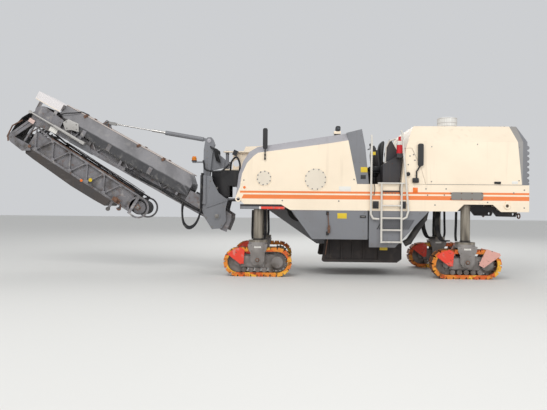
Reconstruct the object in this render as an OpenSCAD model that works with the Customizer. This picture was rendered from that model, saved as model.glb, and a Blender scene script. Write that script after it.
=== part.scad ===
// Cold planer (road milling machine) on four track units, front-loading, with a folded discharge conveyor.
// Modules work in machine stations: s runs rearward from the front legs' axis, y to the left, z up from the ground.
// at_station() turns them into the part's own frame: +X forward, +Y left, +Z up, origin under the box's middle.

/* [Undercarriage] */
// distance from the front legs' axis to the rear legs' axis
wheelbase = 4020; // [3600:10:4400]
// how far a leg's axis lies inside the body's side
leg_inset = 140; // [120:5:200]
// length of one track unit over its shoes
track_len = 1330; // [1200:10:1500]
// height of one track unit over its shoes
track_h = 566; // [480:2:620]
// width of the track shoes
track_w = 260; // [220:5:300]
// number of shoes on one track
shoe_n = 24; // [18:1:30]
// thickness of a shoe with its pad
shoe_t = 50; // [30:1:70]
// radius of the leg columns
column_r = 90; // [70:1:110]
// height above ground of the turntable between column and yoke
turn_z = 668; // [630:1:720]

/* [Body] */
// half the width of the machine over its side panels
body_hw = 1200; // [1150:5:1250]
// height of the lower edge of the side panels
sill_z = 1300; // [1200:5:1400]
// height of the raised lower edge over the front tracks
nose_sill_z = 1405; // [1350:5:1480]
// height of the seam between lower panels and engine hood, also the platform floor
deck_z = 1818; // [1750:2:1900]
// station of the front body's foremost face
nose_s = -431; // [-500:1:-400]
// station of the rear face of the lower body
rear_s = 5185; // [5000:5:5300]
// thickness of the body's sheet panels
panel_t = 15; // [8:1:20]
// half the width of the tunnel for the collecting conveyor
tunnel_hw = 430; // [380:5:480]
// height of the tunnel's roof in the nose
tunnel_z = 2130; // [2000:10:2200]

/* [Engine hood] */
// station of the hood's front lower corner
hood_s = 3221; // [3100:1:3350]
// height of the hood's roof
hood_z = 2985; // [2850:5:3050]
// height of the crease where the sides start to slope inward
crease_z = 2640; // [2500:5:2750]
// half the width of the hood's flat roof
roof_hw = 850; // [750:5:950]
// station where the rear grille starts
grille_s = 5060; // [4950:5:5120]

/* [Operator platform] */
// station of the platform's front bulkhead
bulkhead_s = 1907; // [1850:1:1960]
// radius of the hand rails
rail_r = 19; // [14:1:24]

/* [Milling drum] */
// working width of the drum
drum_w = 1500; // [1300:10:1600]
// cutting diameter over the tips
drum_d = 980; // [900:10:1020]
// height of the drum's axis above ground when parked
drum_z = 760; // [720:5:780]
// number of tool rows round the drum on each half
tool_rows = 14; // [8:1:20]

/* [Discharge conveyor] */
// angle of the conveyor above level when parked
rest_angle = 28.5; // [20:0.5:35]
// station of the slewing axis
slew_s = -741; // [-800:1:-700]
// station of the lift pivot
lift_s = -900; // [-960:1:-860]
// height of the lift pivot
lift_z = 1150; // [1100:5:1200]
// length of the inner section from the lift pivot to the fold pivot
inner_len = 4376; // [4000:2:4700]
// length of the outer section from the fold pivot to its discharge drum
outer_len = 2860; // [2600:10:3100]
// angle of the folded outer section below level
fold_angle = 32; // [30:0.5:35]
// half the width of the conveyor over its side frames
conv_hw = 420; // [380:5:460]
// half the width of the rubber belt
belt_hw = 325; // [280:5:350]
// depth of the inner section below the lift pivot's line
chord_drop = 146; // [120:1:170]
// height of the inner section's side rails
rail_h = 90; // [60:5:110]

/* [Hidden] */
$fn = 48;

// small gap between pieces that slide or turn in each other
run_gap = 0.5;
// gap left where one piece rests on another
seat_gap = 0.3;

// sideways distance from the middle of the machine to a leg's axis
track_y = body_hw - leg_inset;

// where the fold pivot lies
fold_s = lift_s - inner_len * cos(rest_angle) - chord_drop * sin(rest_angle);
fold_z = lift_z + inner_len * sin(rest_angle) - chord_drop * cos(rest_angle);

// foremost corner of the belt's slack loop, along and across the outer section
slack_u = -319;
slack_v = 493;

// the part's own frame: the middle between the belt's slack and the rear face
tip_s = fold_s + slack_u * cos(fold_angle) - slack_v * sin(fold_angle);
hinge_s = rear_s + 20;
tail_s = hinge_s + 16;
x_off = (tip_s + tail_s) / 2;

// sleeves round the columns, their top, and the eyes' holes
sleeve_r = column_r + 25;
sleeve_top = 2300;
eye_r = 33;
column_top = 1830;
// thickness of the track chain's links under the shoes
link_t = 30;
// height of the engine hood's hinge
hinge_z = deck_z + 4;
// thickness of the belts, and radius of the discharge drum's belt
belt_t = 14;
drum_pulley_r = 150;
// pulleys of the collecting belt, (s, z)
col_tail = [1300, 740];
col_head = [-580, 1950];
// half the width of the collecting belt, and the radius of the transfer hood
col_hw = 270;
hopper_r = 330;
duct_y = body_hw - 350;
// the bracket that holds the slewing pin: its lower and upper plate, and the pin's radius
arm_low = tunnel_z + 5;
arm_high = 2518;
arm_t = 25;
pin_r = 35;
// lower edge of the slewing ring, and its inner radius
ring_z = 1470;
ring_r = 300;
// frame beams, from inside to outside
beam_in = body_hw - 580;
beam_out = body_hw - 460;

// colours as the photo shows them
cream = [0.93, 0.88, 0.78];
grey = [0.48, 0.49, 0.50];
dark = [0.20, 0.20, 0.21];
black = [0.07, 0.07, 0.07];
rust = [0.42, 0.27, 0.20];
pad_orange = [0.85, 0.52, 0.12];

function dir(a) = [cos(a), sin(a)];

module at_station() {
    translate([x_off, 0, 0]) mirror([1, 0, 0]) children();
}

// a side profile of (s, z) points between two y values
module side(pts, y0, y1) {
    translate([0, y1, 0]) rotate([90, 0, 0]) linear_extrude(y1 - y0) polygon(pts);
}

module box(s0, s1, y0, y1, z0, z1) {
    translate([s0, y0, z0]) cube([s1 - s0, y1 - y0, z1 - z0]);
}

// a round bar across the machine
module cross(s, z, r, y0, y1) {
    translate([s, y1, z]) rotate([90, 0, 0]) cylinder(r = r, h = y1 - y0);
}

module upright(s, y, r, z0, z1) {
    translate([s, y, z0]) cylinder(r = r, h = z1 - z0);
}

module both_sides() {
    children();
    mirror([0, 1, 0]) children();
}

// a round bar between two points
module rod(p, q, r) {
    d = q - p;
    n = norm(d);
    translate(p) rotate([0, acos(d[2] / n), atan2(d[1], d[0])]) cylinder(r = r, h = n);
}

// a bent tube along a list of points
module tube(pts, r, knot = 1.03) {
    for (i = [0 : len(pts) - 2]) rod(pts[i], pts[i + 1], r);
    for (i = [1 : len(pts) - 2]) translate(pts[i]) sphere(r = r * knot);
}

// a flat bar between two (s, z) points, w wide
module bar(p, q, w, y0, y1) {
    d = (q - p) / norm(q - p);
    n = [-d[1], d[0]] * w / 2;
    side([p + n, q + n, q - n, p - n], y0, y1);
}

// a flat body with two round ends, r and t in radius, joined by their tangents
module round_ends(p, r, q, t, y0, y1) {
    d = q - p;
    base = atan2(d[1], d[0]);
    lean = acos((r - t) / norm(d));
    side([p + r * dir(base + lean), q + t * dir(base + lean), q + t * dir(base - lean), p + r * dir(base - lean)],
         y0, y1);
    cross(p[0], p[1], r, y0, y1);
    cross(q[0], q[1], t, y0, y1);
}

// outline round two circles, with arc_n flats on each end
arc_n = 16;
function arc_pts(c, r, a0, a1) = [for (i = [0 : arc_n]) c + r * dir(a0 + (a1 - a0) * i / arc_n)];

function loop_pts(p, r, q, t) =
    let (d = q - p, base = atan2(d[1], d[0]), lean = acos((r - t) / norm(d)))
    concat(arc_pts(p, r, base + lean, base + 360 - lean), arc_pts(q, t, base - lean, base + lean));

// an endless belt round two pulleys, and the pulley that fits inside one end
module belt(p, r, q, t, hw) {
    difference() {
        side(loop_pts(p, r, q, t), -hw, hw);
        side(loop_pts(p, r - belt_t, q, t - belt_t), -hw - 1, hw + 1);
    }
}

function pulley_r(r) = (r - belt_t) * cos(96 / arc_n) - seat_gap;

// a plate with rounded corners, its flat sides face left and right
module round_plate(s0, s1, z0, z1, r, y0, y1) {
    box(s0 + r, s1 - r, y0, y1, z0, z1);
    box(s0, s1, y0, y1, z0 + r, z1 - r);
    for (s = [s0 + r, s1 - r], z = [z0 + r, z1 - r]) cross(s, z, r, y0, y1);
}

// body profiles, (s, z)
// outer line over the top cover, from the nose up and back to the bulkhead
function back_s(z) = bulkhead_s - (z - deck_z) * 0.2055;
// height of the top cover's rear part at a station
function lid_z(s) = 2526 + (s - nose_s - 408) * 272 / (back_s(2798) - nose_s - 408);
cover_top = [
    [nose_s + 20, 1708], [nose_s + 42, 1991], [nose_s + 127, 2240], [nose_s + 246, 2426],
    [nose_s + 408, 2526], [back_s(2798), 2798]
];
// inner line where the side panels end
cover_low = [
    [nose_s + 78, 1745], [nose_s + 115, 1992], [nose_s + 210, 2202], [nose_s + 336, 2339],
    [nose_s + 421, 2403], [1379, 2596], [back_s(2655), 2655]
];
// both lines share the body's lower outline; the bulkhead leans with back_s()
body_low = [[bulkhead_s, deck_z], [bulkhead_s, nose_sill_z], [nose_s + 160, nose_sill_z], [nose_s, 1560]];

module front_block() {
    difference() {
        hull() {
            side(concat(cover_top, body_low), -body_hw + 100, body_hw - 100);
            side(concat(cover_low, body_low), -body_hw, body_hw);
        }
        children();
    }
}

// lifting eye on a body side, its hole runs across the machine
module eye(s, z, foot) {
    cross(s, z, 58, body_hw - panel_t, body_hw + 22);
    box(s - 30, s + 30, body_hw - panel_t, body_hw + 22, min(foot, z), max(foot, z));
}

module eye_hole(s, z) {
    both_sides() cross(s, z, eye_r, body_hw - 60, body_hw + 60);
}

// frame
module chassis_frame() {
    color(dark) at_station() {
        both_sides() difference() {
            union() {
                // long beams
                box(-350, 4740, beam_in, beam_out, 1310, nose_sill_z - seat_gap);
                // leg brackets, front and rear
                box(-350, 520, beam_out, body_hw - 25, 1311, nose_sill_z - seat_gap);
                box(wheelbase - 60, wheelbase + 460, beam_out, body_hw - 25, 1440, 1500);
                box(wheelbase - 160, wheelbase + 460, beam_in, beam_out, 1310, 1500);
                // sleeves that guide the columns
                upright(0, track_y, sleeve_r, nose_sill_z - 1, sleeve_top);
                upright(wheelbase, track_y, sleeve_r, 1440, sleeve_top);
                // clamp of the suction duct
                box(3310, 3350, beam_out - 1, duct_y - 62 - seat_gap, 1320, 1360);
                // tow plates under the rear
                side([[4660, 1330], [4760, 1205], [5120, 1200], [5150, 1260], [5150, 1330]], beam_in + 20, beam_out - 20);
            }
            for (s = [0, wheelbase])
                upright(s, track_y, column_r + run_gap, 1200, sleeve_top + 10);
            cross(5080, 1255, 30, beam_in, beam_out);
        }
        // cross members
        for (s = [-275, 900, 2900, 3680, 4600]) box(s, s + 130, -beam_in - 1, beam_in + 1, 1310, 1395);
    }
}

// ring that the conveyor's console turns on, with two arms on the frame's first cross member
module slew_bearing() {
    color(dark) at_station() difference() {
        union() {
            upright(slew_s, 0, ring_r + 60, ring_z, ring_z + 30);
            both_sides() {
                box(slew_s + ring_r + 20, -145, 60, 120, ring_z, ring_z + 30);
                box(-275, -145, 60, 120, 1395 + seat_gap, ring_z + 30);
            }
        }
        upright(slew_s, 0, ring_r, ring_z - 10, ring_z + 40);
    }
}

module front_body() {
    color(cream) at_station() {
        difference() {
            union() {
                side(concat(cover_low, body_low), -body_hw, body_hw);
                // lower strip of the side panels
                both_sides() side([[446, nose_sill_z + 1], [621, sill_z], [bulkhead_s, sill_z],
                                   [bulkhead_s, nose_sill_z + 1]], body_hw - panel_t, body_hw);
                both_sides() eye(nose_s + 47, 1506, 1560);
                // round bolted covers
                both_sides() {
                    cross(111, 1914, 150, body_hw - 1, body_hw + 8);
                    cross(1108, 1898, 215, body_hw - 1, body_hw + 8);
                }
            }
            eye_hole(nose_s + 47, 1506);
            // room behind the lashing eyes
            both_sides() box(nose_s - 30, nose_s + 130, body_hw - 240, body_hw - panel_t, 1390, 1600);
            // tunnel of the collecting conveyor
            side([[nose_s - 50, 1300], [nose_s - 50, tunnel_z], [nose_s + 300, tunnel_z],
                  [bulkhead_s + 50, 1500], [bulkhead_s + 50, 1300]], -tunnel_hw, tunnel_hw);
            both_sides() upright(0, track_y, sleeve_r + seat_gap, 1300, sleeve_top + seat_gap);
        }
        slew_bracket();
    }
}

// bracket at the nose that holds the slewing pin between two plates
bracket_hw = 90;
bracket_end = nose_s + 520;

module slew_bracket() {
    difference() {
        union() {
            for (a = [[arm_low, nose_s + 190], [arm_high, bracket_end]]) {
                box(slew_s, a[1], -bracket_hw, bracket_hw, a[0], a[0] + arm_t);
                upright(slew_s, 0, bracket_hw, a[0], a[0] + arm_t);
            }
            // web between the plates, cut out for the hoses
            difference() {
                side([[slew_s + 120, arm_low], [slew_s + 120, arm_high + 1], [bracket_end, arm_high + 1],
                      [bracket_end, 2380], [nose_s + 190, arm_low]], -14, 14);
                cross(slew_s + 200, 2290, 75, -15, 15);
            }
            // tank filler behind the upper plate
            side([[nose_s + 50, arm_high + arm_t - 1], [nose_s + 90, 2640], [bracket_end, 2660],
                  [bracket_end, arm_high + arm_t - 1]], -bracket_hw, bracket_hw);
        }
        upright(slew_s, 0, pin_r + run_gap, arm_low - 10, arm_high + arm_t + 10);
    }
}

module top_cover() {
    color(grey) at_station() front_block() {
        side(concat([[nose_s - 1, 1559]], cover_low,
             [[bulkhead_s + 60, 2690], [bulkhead_s + 60, 1300], [nose_s - 60, 1300]]), -body_hw - 10, body_hw + 10);
        side([[nose_s - 50, 1300], [nose_s - 50, tunnel_z], [nose_s + 300, tunnel_z], [900, 1300]],
             -tunnel_hw, tunnel_hw);
        // slot for the bracket of the slewing pin
        box(nose_s - 60, bracket_end + seat_gap, -bracket_hw - seat_gap, bracket_hw + seat_gap,
            arm_low - seat_gap, 2700);
    }
}

// outline of the engine's fixed cowl; the hood's seam runs up its rear edge and over its top, (s, z)
cowl_top = 2508;
cowl_line = [[hood_s - 461, deck_z], [hood_s - 453, 1896], [hood_s - 382, cowl_top], [hood_s - 271, cowl_top],
             [hood_s - 92, 2130], [hood_s, deck_z]];

module rear_body() {
    profile = [[bulkhead_s + 1, sill_z], [wheelbase - 200, sill_z], [wheelbase - 68, 1436],
               [wheelbase + 481, 1436], [wheelbase + 633, sill_z], [rear_s, sill_z], [rear_s, deck_z - 5],
               [bulkhead_s + 1, deck_z - 5]];
    color(cream) at_station() {
        difference() {
            both_sides() {
                side(profile, body_hw - panel_t, body_hw);
                eye(wheelbase + 746, 1415, 1500);
            }
            eye_hole(wheelbase + 746, 1415);
        }
        box(rear_s - panel_t, rear_s, -body_hw + panel_t, body_hw - panel_t, sill_z, deck_z - 5);
        // raised cover of the air filter on the left side
        round_plate(3709, 4311, 1522, 1670, 30, body_hw - 1, body_hw + 12);
        // hinge ears of the hood, and the pads that it rests on
        both_sides() {
            box(rear_s - 1, hinge_s, 560, 600, deck_z - 50, deck_z - 6);
            cross(hinge_s, hinge_z, 16, 560, 600);
            for (s = [3400, 4700])
                box(s, s + 60, body_hw - panel_t + 1, body_hw - 1, deck_z - 6, deck_z - seat_gap);
        }
        cowl();
    }
}

// fixed front end of the engine's housing, up to the hood's seam
module cowl() {
    t = panel_t;
    difference() {
        side(cowl_line, -body_hw, body_hw);
        side([[hood_s - 461 + t, deck_z - 20], [hood_s - 453 + t, 1896], [hood_s - 382 + t, cowl_top - t],
              [hood_s - 280, cowl_top - t], [hood_s - 280, cowl_top + 5], [hood_s + 5, cowl_top + 5],
              [hood_s + 5, deck_z - 20]], -body_hw + t, body_hw - t);
    }
    // feet of the cowl on the side panels
    both_sides() box(2900, 3100, body_hw - t + 1, body_hw - 1, deck_z - 6, deck_z + 1);
}

module platform() {
    color(dark) at_station() {
        box(bulkhead_s + 1, 3100, -body_hw + panel_t + seat_gap, body_hw - panel_t - seat_gap,
            deck_z - 45, deck_z - seat_gap);
        both_sides() box(2400, 2730, body_hw, body_hw + 25, 1664, 1690);
    }
}

module bulkhead() {
    color(grey) at_station()
        side([[back_s(2802) + 1, 2802], [1994, 2874], [2062, 2533], [2137, deck_z], [bulkhead_s + 1, deck_z]],
             -body_hw + 5, body_hw - 5);
}

module consoles() {
    color(dark) at_station() {
        both_sides() {
            side([[2422, deck_z], [2422, 2200], [2790, 2425], [2745, deck_z]], body_hw - 480, body_hw - 130);
            // shelf for the extinguisher
            box(2670, 2790, body_hw - 170, body_hw - 5, 2330, 2410);
            // screen in a light frame on the console
            side([[2500, 2235], [2470, 2420], [2560, 2700], [2600, 2690], [2760, 2400]],
                 body_hw - 300, body_hw - 240);
        }
        box(2170, 2400, -300, 300, deck_z, 2172);
    }
}

module seats() {
    color(black) at_station() both_sides() {
        box(2180, 2480, body_hw - 780, body_hw - 500, 2060, 2172);
        side([[2440, 2172], [2400, 2560], [2470, 2720], [2520, 2710], [2480, 2172]], body_hw - 780, body_hw - 500);
        upright(2330, body_hw - 640, 60, deck_z, 2060);
    }
}

module rails_ladders() {
    y = body_hw + 45;
    color(cream) at_station() both_sides() {
        tube([[2179, y - 45, 2752], [2179, y, 2700], [2170, y, 1230], [2215, y, 1150], [2330, y, 1141]], rail_r);
        tube([[2750, y - 45, 2842], [2760, y, 2780], [2887, y, 1300], [2850, y, 1180], [2775, y, 1141]], rail_r);
        for (s = [2374, 2755]) rod([s, y, 1700], [s, y, 682], rail_r);
        for (z = [700, 930, 1160, 1400]) rod([2374, y, z], [2755, y, z], rail_r - 3);
        for (s = [2179, 2860], z = [1450, 1750]) rod([s, body_hw, z], [s, y, z], rail_r - 5);
        for (s = [2374, 2755], z = [1640]) rod([s, body_hw, z], [s, y, z], rail_r - 5);
    }
}

module drum_housing() {
    hw = drum_w / 2 + 40;
    color(grey) at_station() {
        // side skirts, in the plane of the body panels
        both_sides() {
            side([[640, sill_z - 1], [1051, 742], [2118, 742], [2118, sill_z - 1]],
                 body_hw - 30, body_hw - 5);
            side([[2142, sill_z - 1], [2148, 595], [2645, 595], [3290, sill_z - 1]],
                 body_hw - 30, body_hw - 5);
            for (s = [1100, 1700, 2300]) box(s, s + 30, hw + 30, body_hw - 30, 1050, 1250);
        }
        // drum box, open below
        difference() {
            side([[1380, 560], [1380, 1150], [1560, 1300], [2560, 1300], [2740, 1150], [2740, 560]],
                 -hw - 30, hw + 30);
            side([[1410, 500], [1410, 1130], [1575, 1270], [2545, 1270], [2710, 1130], [2710, 500]],
                 -hw, hw);
            box(1300, 1450, -tunnel_hw + 60, tunnel_hw - 60, 600, 1000);
            // bearings of the drum's shaft
            cross(drum_s, drum_z, shaft_r + run_gap, -hw - 31, hw + 31);
        }
        // rails that the side plates and the scraper slide on
        both_sides() for (s = [1500, 2500]) box(s, s + 60, hw + 29, hw + 37.5, 600, 1100);
        both_sides() box(2739, 2749.5, 500, 560, 700, 1100);
        // ties from the box to the frame
        both_sides() for (s = [1600, 2400]) box(s, s + 60, beam_in + 20, beam_out - 20, 1299, 1310);
    }
}

module collecting_conveyor() {
    color(grey) at_station() {
        both_sides() side([[1370, 620], [1370, 860], [-560, 2060], [-660, 2040], [-660, 1880], [1180, 620]],
                          col_hw + 15, col_hw + 35);
        side([[1370, 600], [1180, 600], [-600, 1820], [-600, 1838], [1182, 621], [1370, 621]],
             -col_hw - 35, col_hw + 35);
        // straps to the frame's cross members
        both_sides() {
            box(930, 990, col_hw + 15, col_hw + 35, 1000, 1310 - seat_gap);
            box(-240, -180, col_hw + 15, col_hw + 35, 1395 + seat_gap, 1650);
        }
        for (c = [col_tail, col_head]) {
            cross(c[0], c[1], pulley_r(60), -col_hw, col_hw);
            cross(c[0], c[1], 18, -col_hw - 20, col_hw + 20);
        }
    }
}

module collecting_belt() {
    color(black) at_station() belt(col_tail, 60, col_head, 60, col_hw);
}

module engine() {
    color(dark) at_station() {
        box(3560, 4860, -450, 450, 1500, 2400);
        both_sides() for (s = [3700, 4620]) box(s, s + 80, 380, 560, 1395 + seat_gap, 1560);
    }
}

module lamps_mirrors() {
    color(black) at_station() {
        // front mirror on its rod
        round_plate(84, 176, 2471, 2876, 34, body_hw + 12, body_hw + 46);
        upright(128, body_hw + 22, 11, 2262, 2480);
        for (z = [2275, 2345]) box(112, 144, body_hw + seat_gap, body_hw + 34, z, z + 30);
        // rear mirror on the cowl
        round_plate(3064, 3168, 2164, 2595, 34, body_hw + 12, body_hw + 46);
        tube([[3116, body_hw + 25, 2180], [3040, body_hw + 25, 2060], [3040, body_hw + 25, 1900]], 14);
        box(3015, 3065, body_hw + seat_gap, body_hw + 34, 1880, 1930);
        // work lamps beside the slewing bracket's upper plate, tilted down
        both_sides() {
            translate([slew_s + 190, bracket_hw + 30, arm_high - 20]) rotate([0, 24, 0])
                translate([-45, 0, -60]) cube([90, 120, 110]);
            box(slew_s + 180, slew_s + 204, bracket_hw + seat_gap, bracket_hw + 60, arm_high + 3, arm_high + 19);
        }
        // camera on its bracket, and its cap
        side([[1470, lid_z(1470) + seat_gap], [1470, 2842], [1590, 2842], [1590, lid_z(1590) + seat_gap]],
             body_hw - 190, body_hw - 110);
        round_plate(1495, 1590, 2841, 2945, 30, body_hw - 200, body_hw - 100);
    }
}

module fire_extinguisher() {
    color([0.7, 0.05, 0.07]) at_station() {
        upright(2730, body_hw - 70, 56, 2410 + seat_gap, 2660);
        upright(2730, body_hw - 70, 25, 2660, 2740);
    }
}

module suction_duct() {
    color(black) at_station()
        tube([[2890, duct_y, 650], [2980, duct_y, 700], [3270, duct_y, 1150], [3330, duct_y, 1380]], 62, 1.12);
}

// hood
// section of the engine housing across the machine, t inside the outer skin, from one station to another
module hood_section(t, s0, s1) {
    foot = deck_z - (t > 0 ? 30 : 0);
    translate([s0, 0, 0]) rotate([90, 0, 90]) linear_extrude(s1 - s0)
        polygon([[-body_hw + t, foot], [-body_hw + t, crease_z], [-roof_hw, hood_z - t],
                 [roof_hw, hood_z - t], [body_hw - t, crease_z], [body_hw - t, foot]]);
}

module engine_hood() {
    t = panel_t;
    gap = 6;
    // outline above the cowl, and the same line one panel inside
    outline = [[hood_s + gap, deck_z], [hood_s - 92 + gap, 2130], [hood_s - 271 + gap, cowl_top + gap],
               [hood_s - 380, cowl_top + gap], [hood_s - 305, 2718], [hood_s - 226, 2894], [hood_s - 159, hood_z],
               [grille_s, hood_z], [grille_s, deck_z]];
    inside = [[2700, deck_z - 20], [2700, cowl_top], [hood_s - 380 + t, cowl_top + gap - 1], [hood_s - 305 + t, 2718],
              [hood_s - 226 + t, 2894], [hood_s - 159 + t, hood_z], [grille_s + 5, hood_z], [grille_s + 5, deck_z - 20]];
    color(cream) at_station() {
        difference() {
            intersection() {
                hood_section(0, 2700, grille_s);
                side(outline, -body_hw, body_hw);
            }
            intersection() {
                hood_section(t, 2690, grille_s + 10);
                side(inside, -body_hw, body_hw);
            }
        }
        // small grille on the front face
        box(hood_s - 372, hood_s - 350, -420, -180, 2540, 2660);
        // intake cap with its neck
        upright(3865, 300, 150, hood_z - 1, hood_z + 60);
        upright(3865, 300, 196, hood_z + 50, 3222);
        upright(3865, 300, 180, 3220, 3234);
    }
}

module rear_grille() {
    back = rear_s - 42;
    color(grey) at_station() {
        difference() {
            union() {
                hull() {
                    side([[grille_s, deck_z], [grille_s, crease_z], [back, crease_z], [back, deck_z]],
                         -body_hw, body_hw);
                    side([[grille_s, hood_z], [back - 60, hood_z - 25], [back, hood_z - 130], [back, crease_z],
                          [grille_s, crease_z]], -roof_hw, roof_hw);
                }
                // rounded fins across the back
                for (z = [1900 : 105 : 2600]) cross(back, z, 40, -body_hw, body_hw);
                box(back - 1, rear_s - 2, -body_hw, body_hw, deck_z, 1862);
            }
            hull() {
                side([[grille_s - 1, deck_z - 1], [grille_s - 1, crease_z], [back - 20, crease_z],
                      [back - 20, deck_z - 1]], -body_hw + 20, body_hw - 20);
                side([[grille_s - 1, crease_z], [grille_s - 1, hood_z - 20], [back - 70, hood_z - 45],
                      [back - 20, crease_z]], -roof_hw + 10, roof_hw - 10);
            }
            // slots between the fins
            for (z = [1900 : 105 : 2500]) box(back - 30, rear_s, -body_hw + 60, body_hw - 60, z + 44, z + 61);
        }
        both_sides() {
            box(rear_s - 30, hinge_s, 600 + run_gap, 640, hinge_z, hinge_z + 40);
            cross(hinge_s, hinge_z, 16, 600 + run_gap, 640);
        }
    }
}

// drum
drum_s = wheelbase / 2;
barrel_r = drum_d / 2 - 110;
shaft_r = 60;

module milling_drum() {
    color(rust) at_station() {
        cross(drum_s, drum_z, barrel_r, -drum_w / 2, drum_w / 2);
        for (half = [-1, 1], k = [0 : tool_rows - 1], j = [0 : 2]) {
            y = half * (30 + (drum_w / 2 - 60) * k / (tool_rows - 1));
            a = j * 120 + k * 24 + (half > 0 ? 60 : 0);
            // a holder block with its round pick leaning into the cut
            translate([drum_s, y, drum_z]) rotate([0, a, 0]) {
                translate([0, -22, barrel_r - 12]) cube([60, 44, 62]);
                translate([20, 0, barrel_r + 40]) rotate([0, -35, 0]) cylinder(r = 18, h = 72);
            }
        }
        cross(drum_s, drum_z, 120, -drum_w / 2 - 30, drum_w / 2 + 30);
        cross(drum_s, drum_z, shaft_r, -drum_w / 2 - 68, drum_w / 2 + 68);
    }
}

module side_plate() {
    hw = drum_w / 2 + 78;
    color(dark) at_station() {
        side([[1259, 310], [1290, 281], [2760, 281], [2841, 340], [2841, 740], [1321, 740], [1294, 533]],
             hw, hw + 25);
        // skid under the plate, upright ribs and the rear box
        side([[1262, 300], [1300, 275], [2740, 275], [2800, 330], [1290, 330]], hw - 2, hw + 70);
        for (s = [1420, 1640, 1860, 2080]) box(s, s + 26, hw + 24, hw + 50, 329, 700);
        side([[2374, 329], [2374, 640], [2560, 640], [2800, 520], [2800, 329]], hw + 24, hw + 60);
    }
}

module side_plate_left() { side_plate(); }

module side_plate_right() { mirror([0, 1, 0]) side_plate(); }

module scraper_blade() {
    color(dark) at_station() box(2750, 2780, -drum_w / 2 - 20, drum_w / 2 + 20, 300, 1000);
}

// legs
module leg(s) {
    color(grey) at_station() difference() {
        union() {
            upright(s, track_y, column_r, turn_z + run_gap, column_top);
            upright(s, track_y, 185, turn_z + run_gap, turn_z + 38);
        }
        box(s - 14, s + 14, track_y + column_r - 14, track_y + column_r + 5, turn_z + 60, column_top - 10);
    }
}

module yoke(s) {
    wheel_z = track_h / 2;
    half = (track_len - track_h) / 2;
    wheel_r = track_h / 2 - shoe_t - link_t - seat_gap;
    cheek_y = track_w / 2 + 11;
    pin_z = wheel_z + 20;
    color(grey) at_station() translate([s, track_y, 0]) {
        // turntable flange and bridge over the track
        upright(0, 0, 185, track_h + 30, turn_z);
        box(-185, 185, -cheek_y - 25, cheek_y + 25, track_h + 30, track_h + 62);
        // cheeks, drilled for the pin
        both_sides() difference() {
            side([[-190, track_h + 62], [190, track_h + 62], [172, 520], [140, 470], [132, 300],
                  [70, 225], [-70, 225], [-132, 300], [-140, 470], [-172, 520]], cheek_y, cheek_y + 25);
            cross(0, pin_z, 30, cheek_y - 1, cheek_y + 26);
        }
        both_sides() difference() {
            cross(0, pin_z, 62, cheek_y + 24, cheek_y + 34);
            cross(0, pin_z, 30, cheek_y + 23, cheek_y + 35);
        }
        cross(0, pin_z, 29.7, -cheek_y - 36, cheek_y + 36);
        // frame inside the loop, with light side boxes
        side([[-400, 165], [-400, 350], [-330, 430], [330, 430], [400, 350], [400, 165]], -60, 60);
        both_sides() side([[-330, 190], [-330, 330], [-290, 400], [100, 400], [130, 330], [130, 190]], 59, 118);
        // sprocket with its hub at the rear, idler at the front
        translate([half, 0, wheel_z]) {
            sprocket(wheel_r - 1.5);
            both_sides() rotate([-90, 0, 0]) cylinder(r = 112, h = 134);
        }
        cross(-half, wheel_z, wheel_r, -45, 45);
        cross(-half, wheel_z, 70, -100, 100);
        // bottom rollers and the carrier roller on top
        for (x = [-260, -130, 0, 130, 260])
            cross(x, shoe_t + link_t + 48 + seat_gap, 48, -95, 95);
        cross(120, track_h - shoe_t - link_t - 30 - seat_gap, 30, -80, 80);
        box(100, 140, -50, 50, 400, track_h - shoe_t - link_t - 32);
        // guard plates outside the shoes, on brackets from the frame
        both_sides() {
            side([[-587, 433], [-495, 511], [-340, 568], [-250, 514], [-267, 300], [-327, 238]],
                 track_w / 2 + 12, track_w / 2 + 22);
            box(-330, -268, 110, track_w / 2 + 13, 250, 330);
        }
        // the rear units have one over the sprocket too
        if (s > 0) both_sides() {
            side([[364, 585], [616, 506], [637, 466], [315, 227], [224, 277], [272, 396]],
                 track_w / 2 + 12, track_w / 2 + 22);
            box(235, 330, 58, track_w / 2 + 13, 280, 340);
        }
    }
}

// toothed wheel that drives the chain, about its own axis along y
module sprocket(r) {
    teeth = 15;
    rotate([-90, 0, 0]) translate([0, 0, -40]) linear_extrude(80)
        polygon([for (i = [0 : teeth - 1], k = [[0, 0.84], [0.3, 0.84], [0.42, 1], [0.6, 1], [0.72, 0.84]])
            r * k[1] * dir((i + k[0]) * 360 / teeth)]);
}

module track(s) {
    r = track_h / 2 - shoe_t;
    half = (track_len - track_h) / 2;
    total = 4 * half + 2 * PI * r;
    // a point on the loop's outside, t along it and off above the shoes' base
    function at(t, off) =
        let (u = t - floor(t / total) * total, arc = PI * r)
        u < 2 * half ? [s - half + u, track_h / 2 - r - off]
        : u < 2 * half + arc ?
            let (a = -90 + (u - 2 * half) / arc * 180)
            [s + half + (r + off) * cos(a), track_h / 2 + (r + off) * sin(a)]
        : u < 4 * half + arc ? [s + half - (u - 2 * half - arc), track_h / 2 + r + off]
        : let (a = 90 + (u - 4 * half - arc) / arc * 180)
            [s - half + (r + off) * cos(a), track_h / 2 + (r + off) * sin(a)];
    pitch = total / shoe_n;
    // share of the pitch and height at each corner of one shoe: groove, plate, pad
    shoe = [[0, 6], [0.07, 6], [0.07, 20], [0.14, shoe_t], [0.88, shoe_t], [0.95, 20]];
    outline = [for (i = [0 : shoe_n - 1], k = shoe) at((i + k[0]) * pitch, k[1])];
    color(pad_orange) at_station() difference() {
        side(outline, track_y - track_w / 2, track_y + track_w / 2);
        round_ends([s - half, track_h / 2], r - link_t, [s + half, track_h / 2], r - link_t,
                   track_y - track_w, track_y + track_w);
    }
}

module leg_front_left() { leg(0); }

module leg_front_right() { mirror([0, 1, 0]) leg(0); }

module leg_rear_left() { leg(wheelbase); }

module leg_rear_right() { mirror([0, 1, 0]) leg(wheelbase); }

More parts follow.
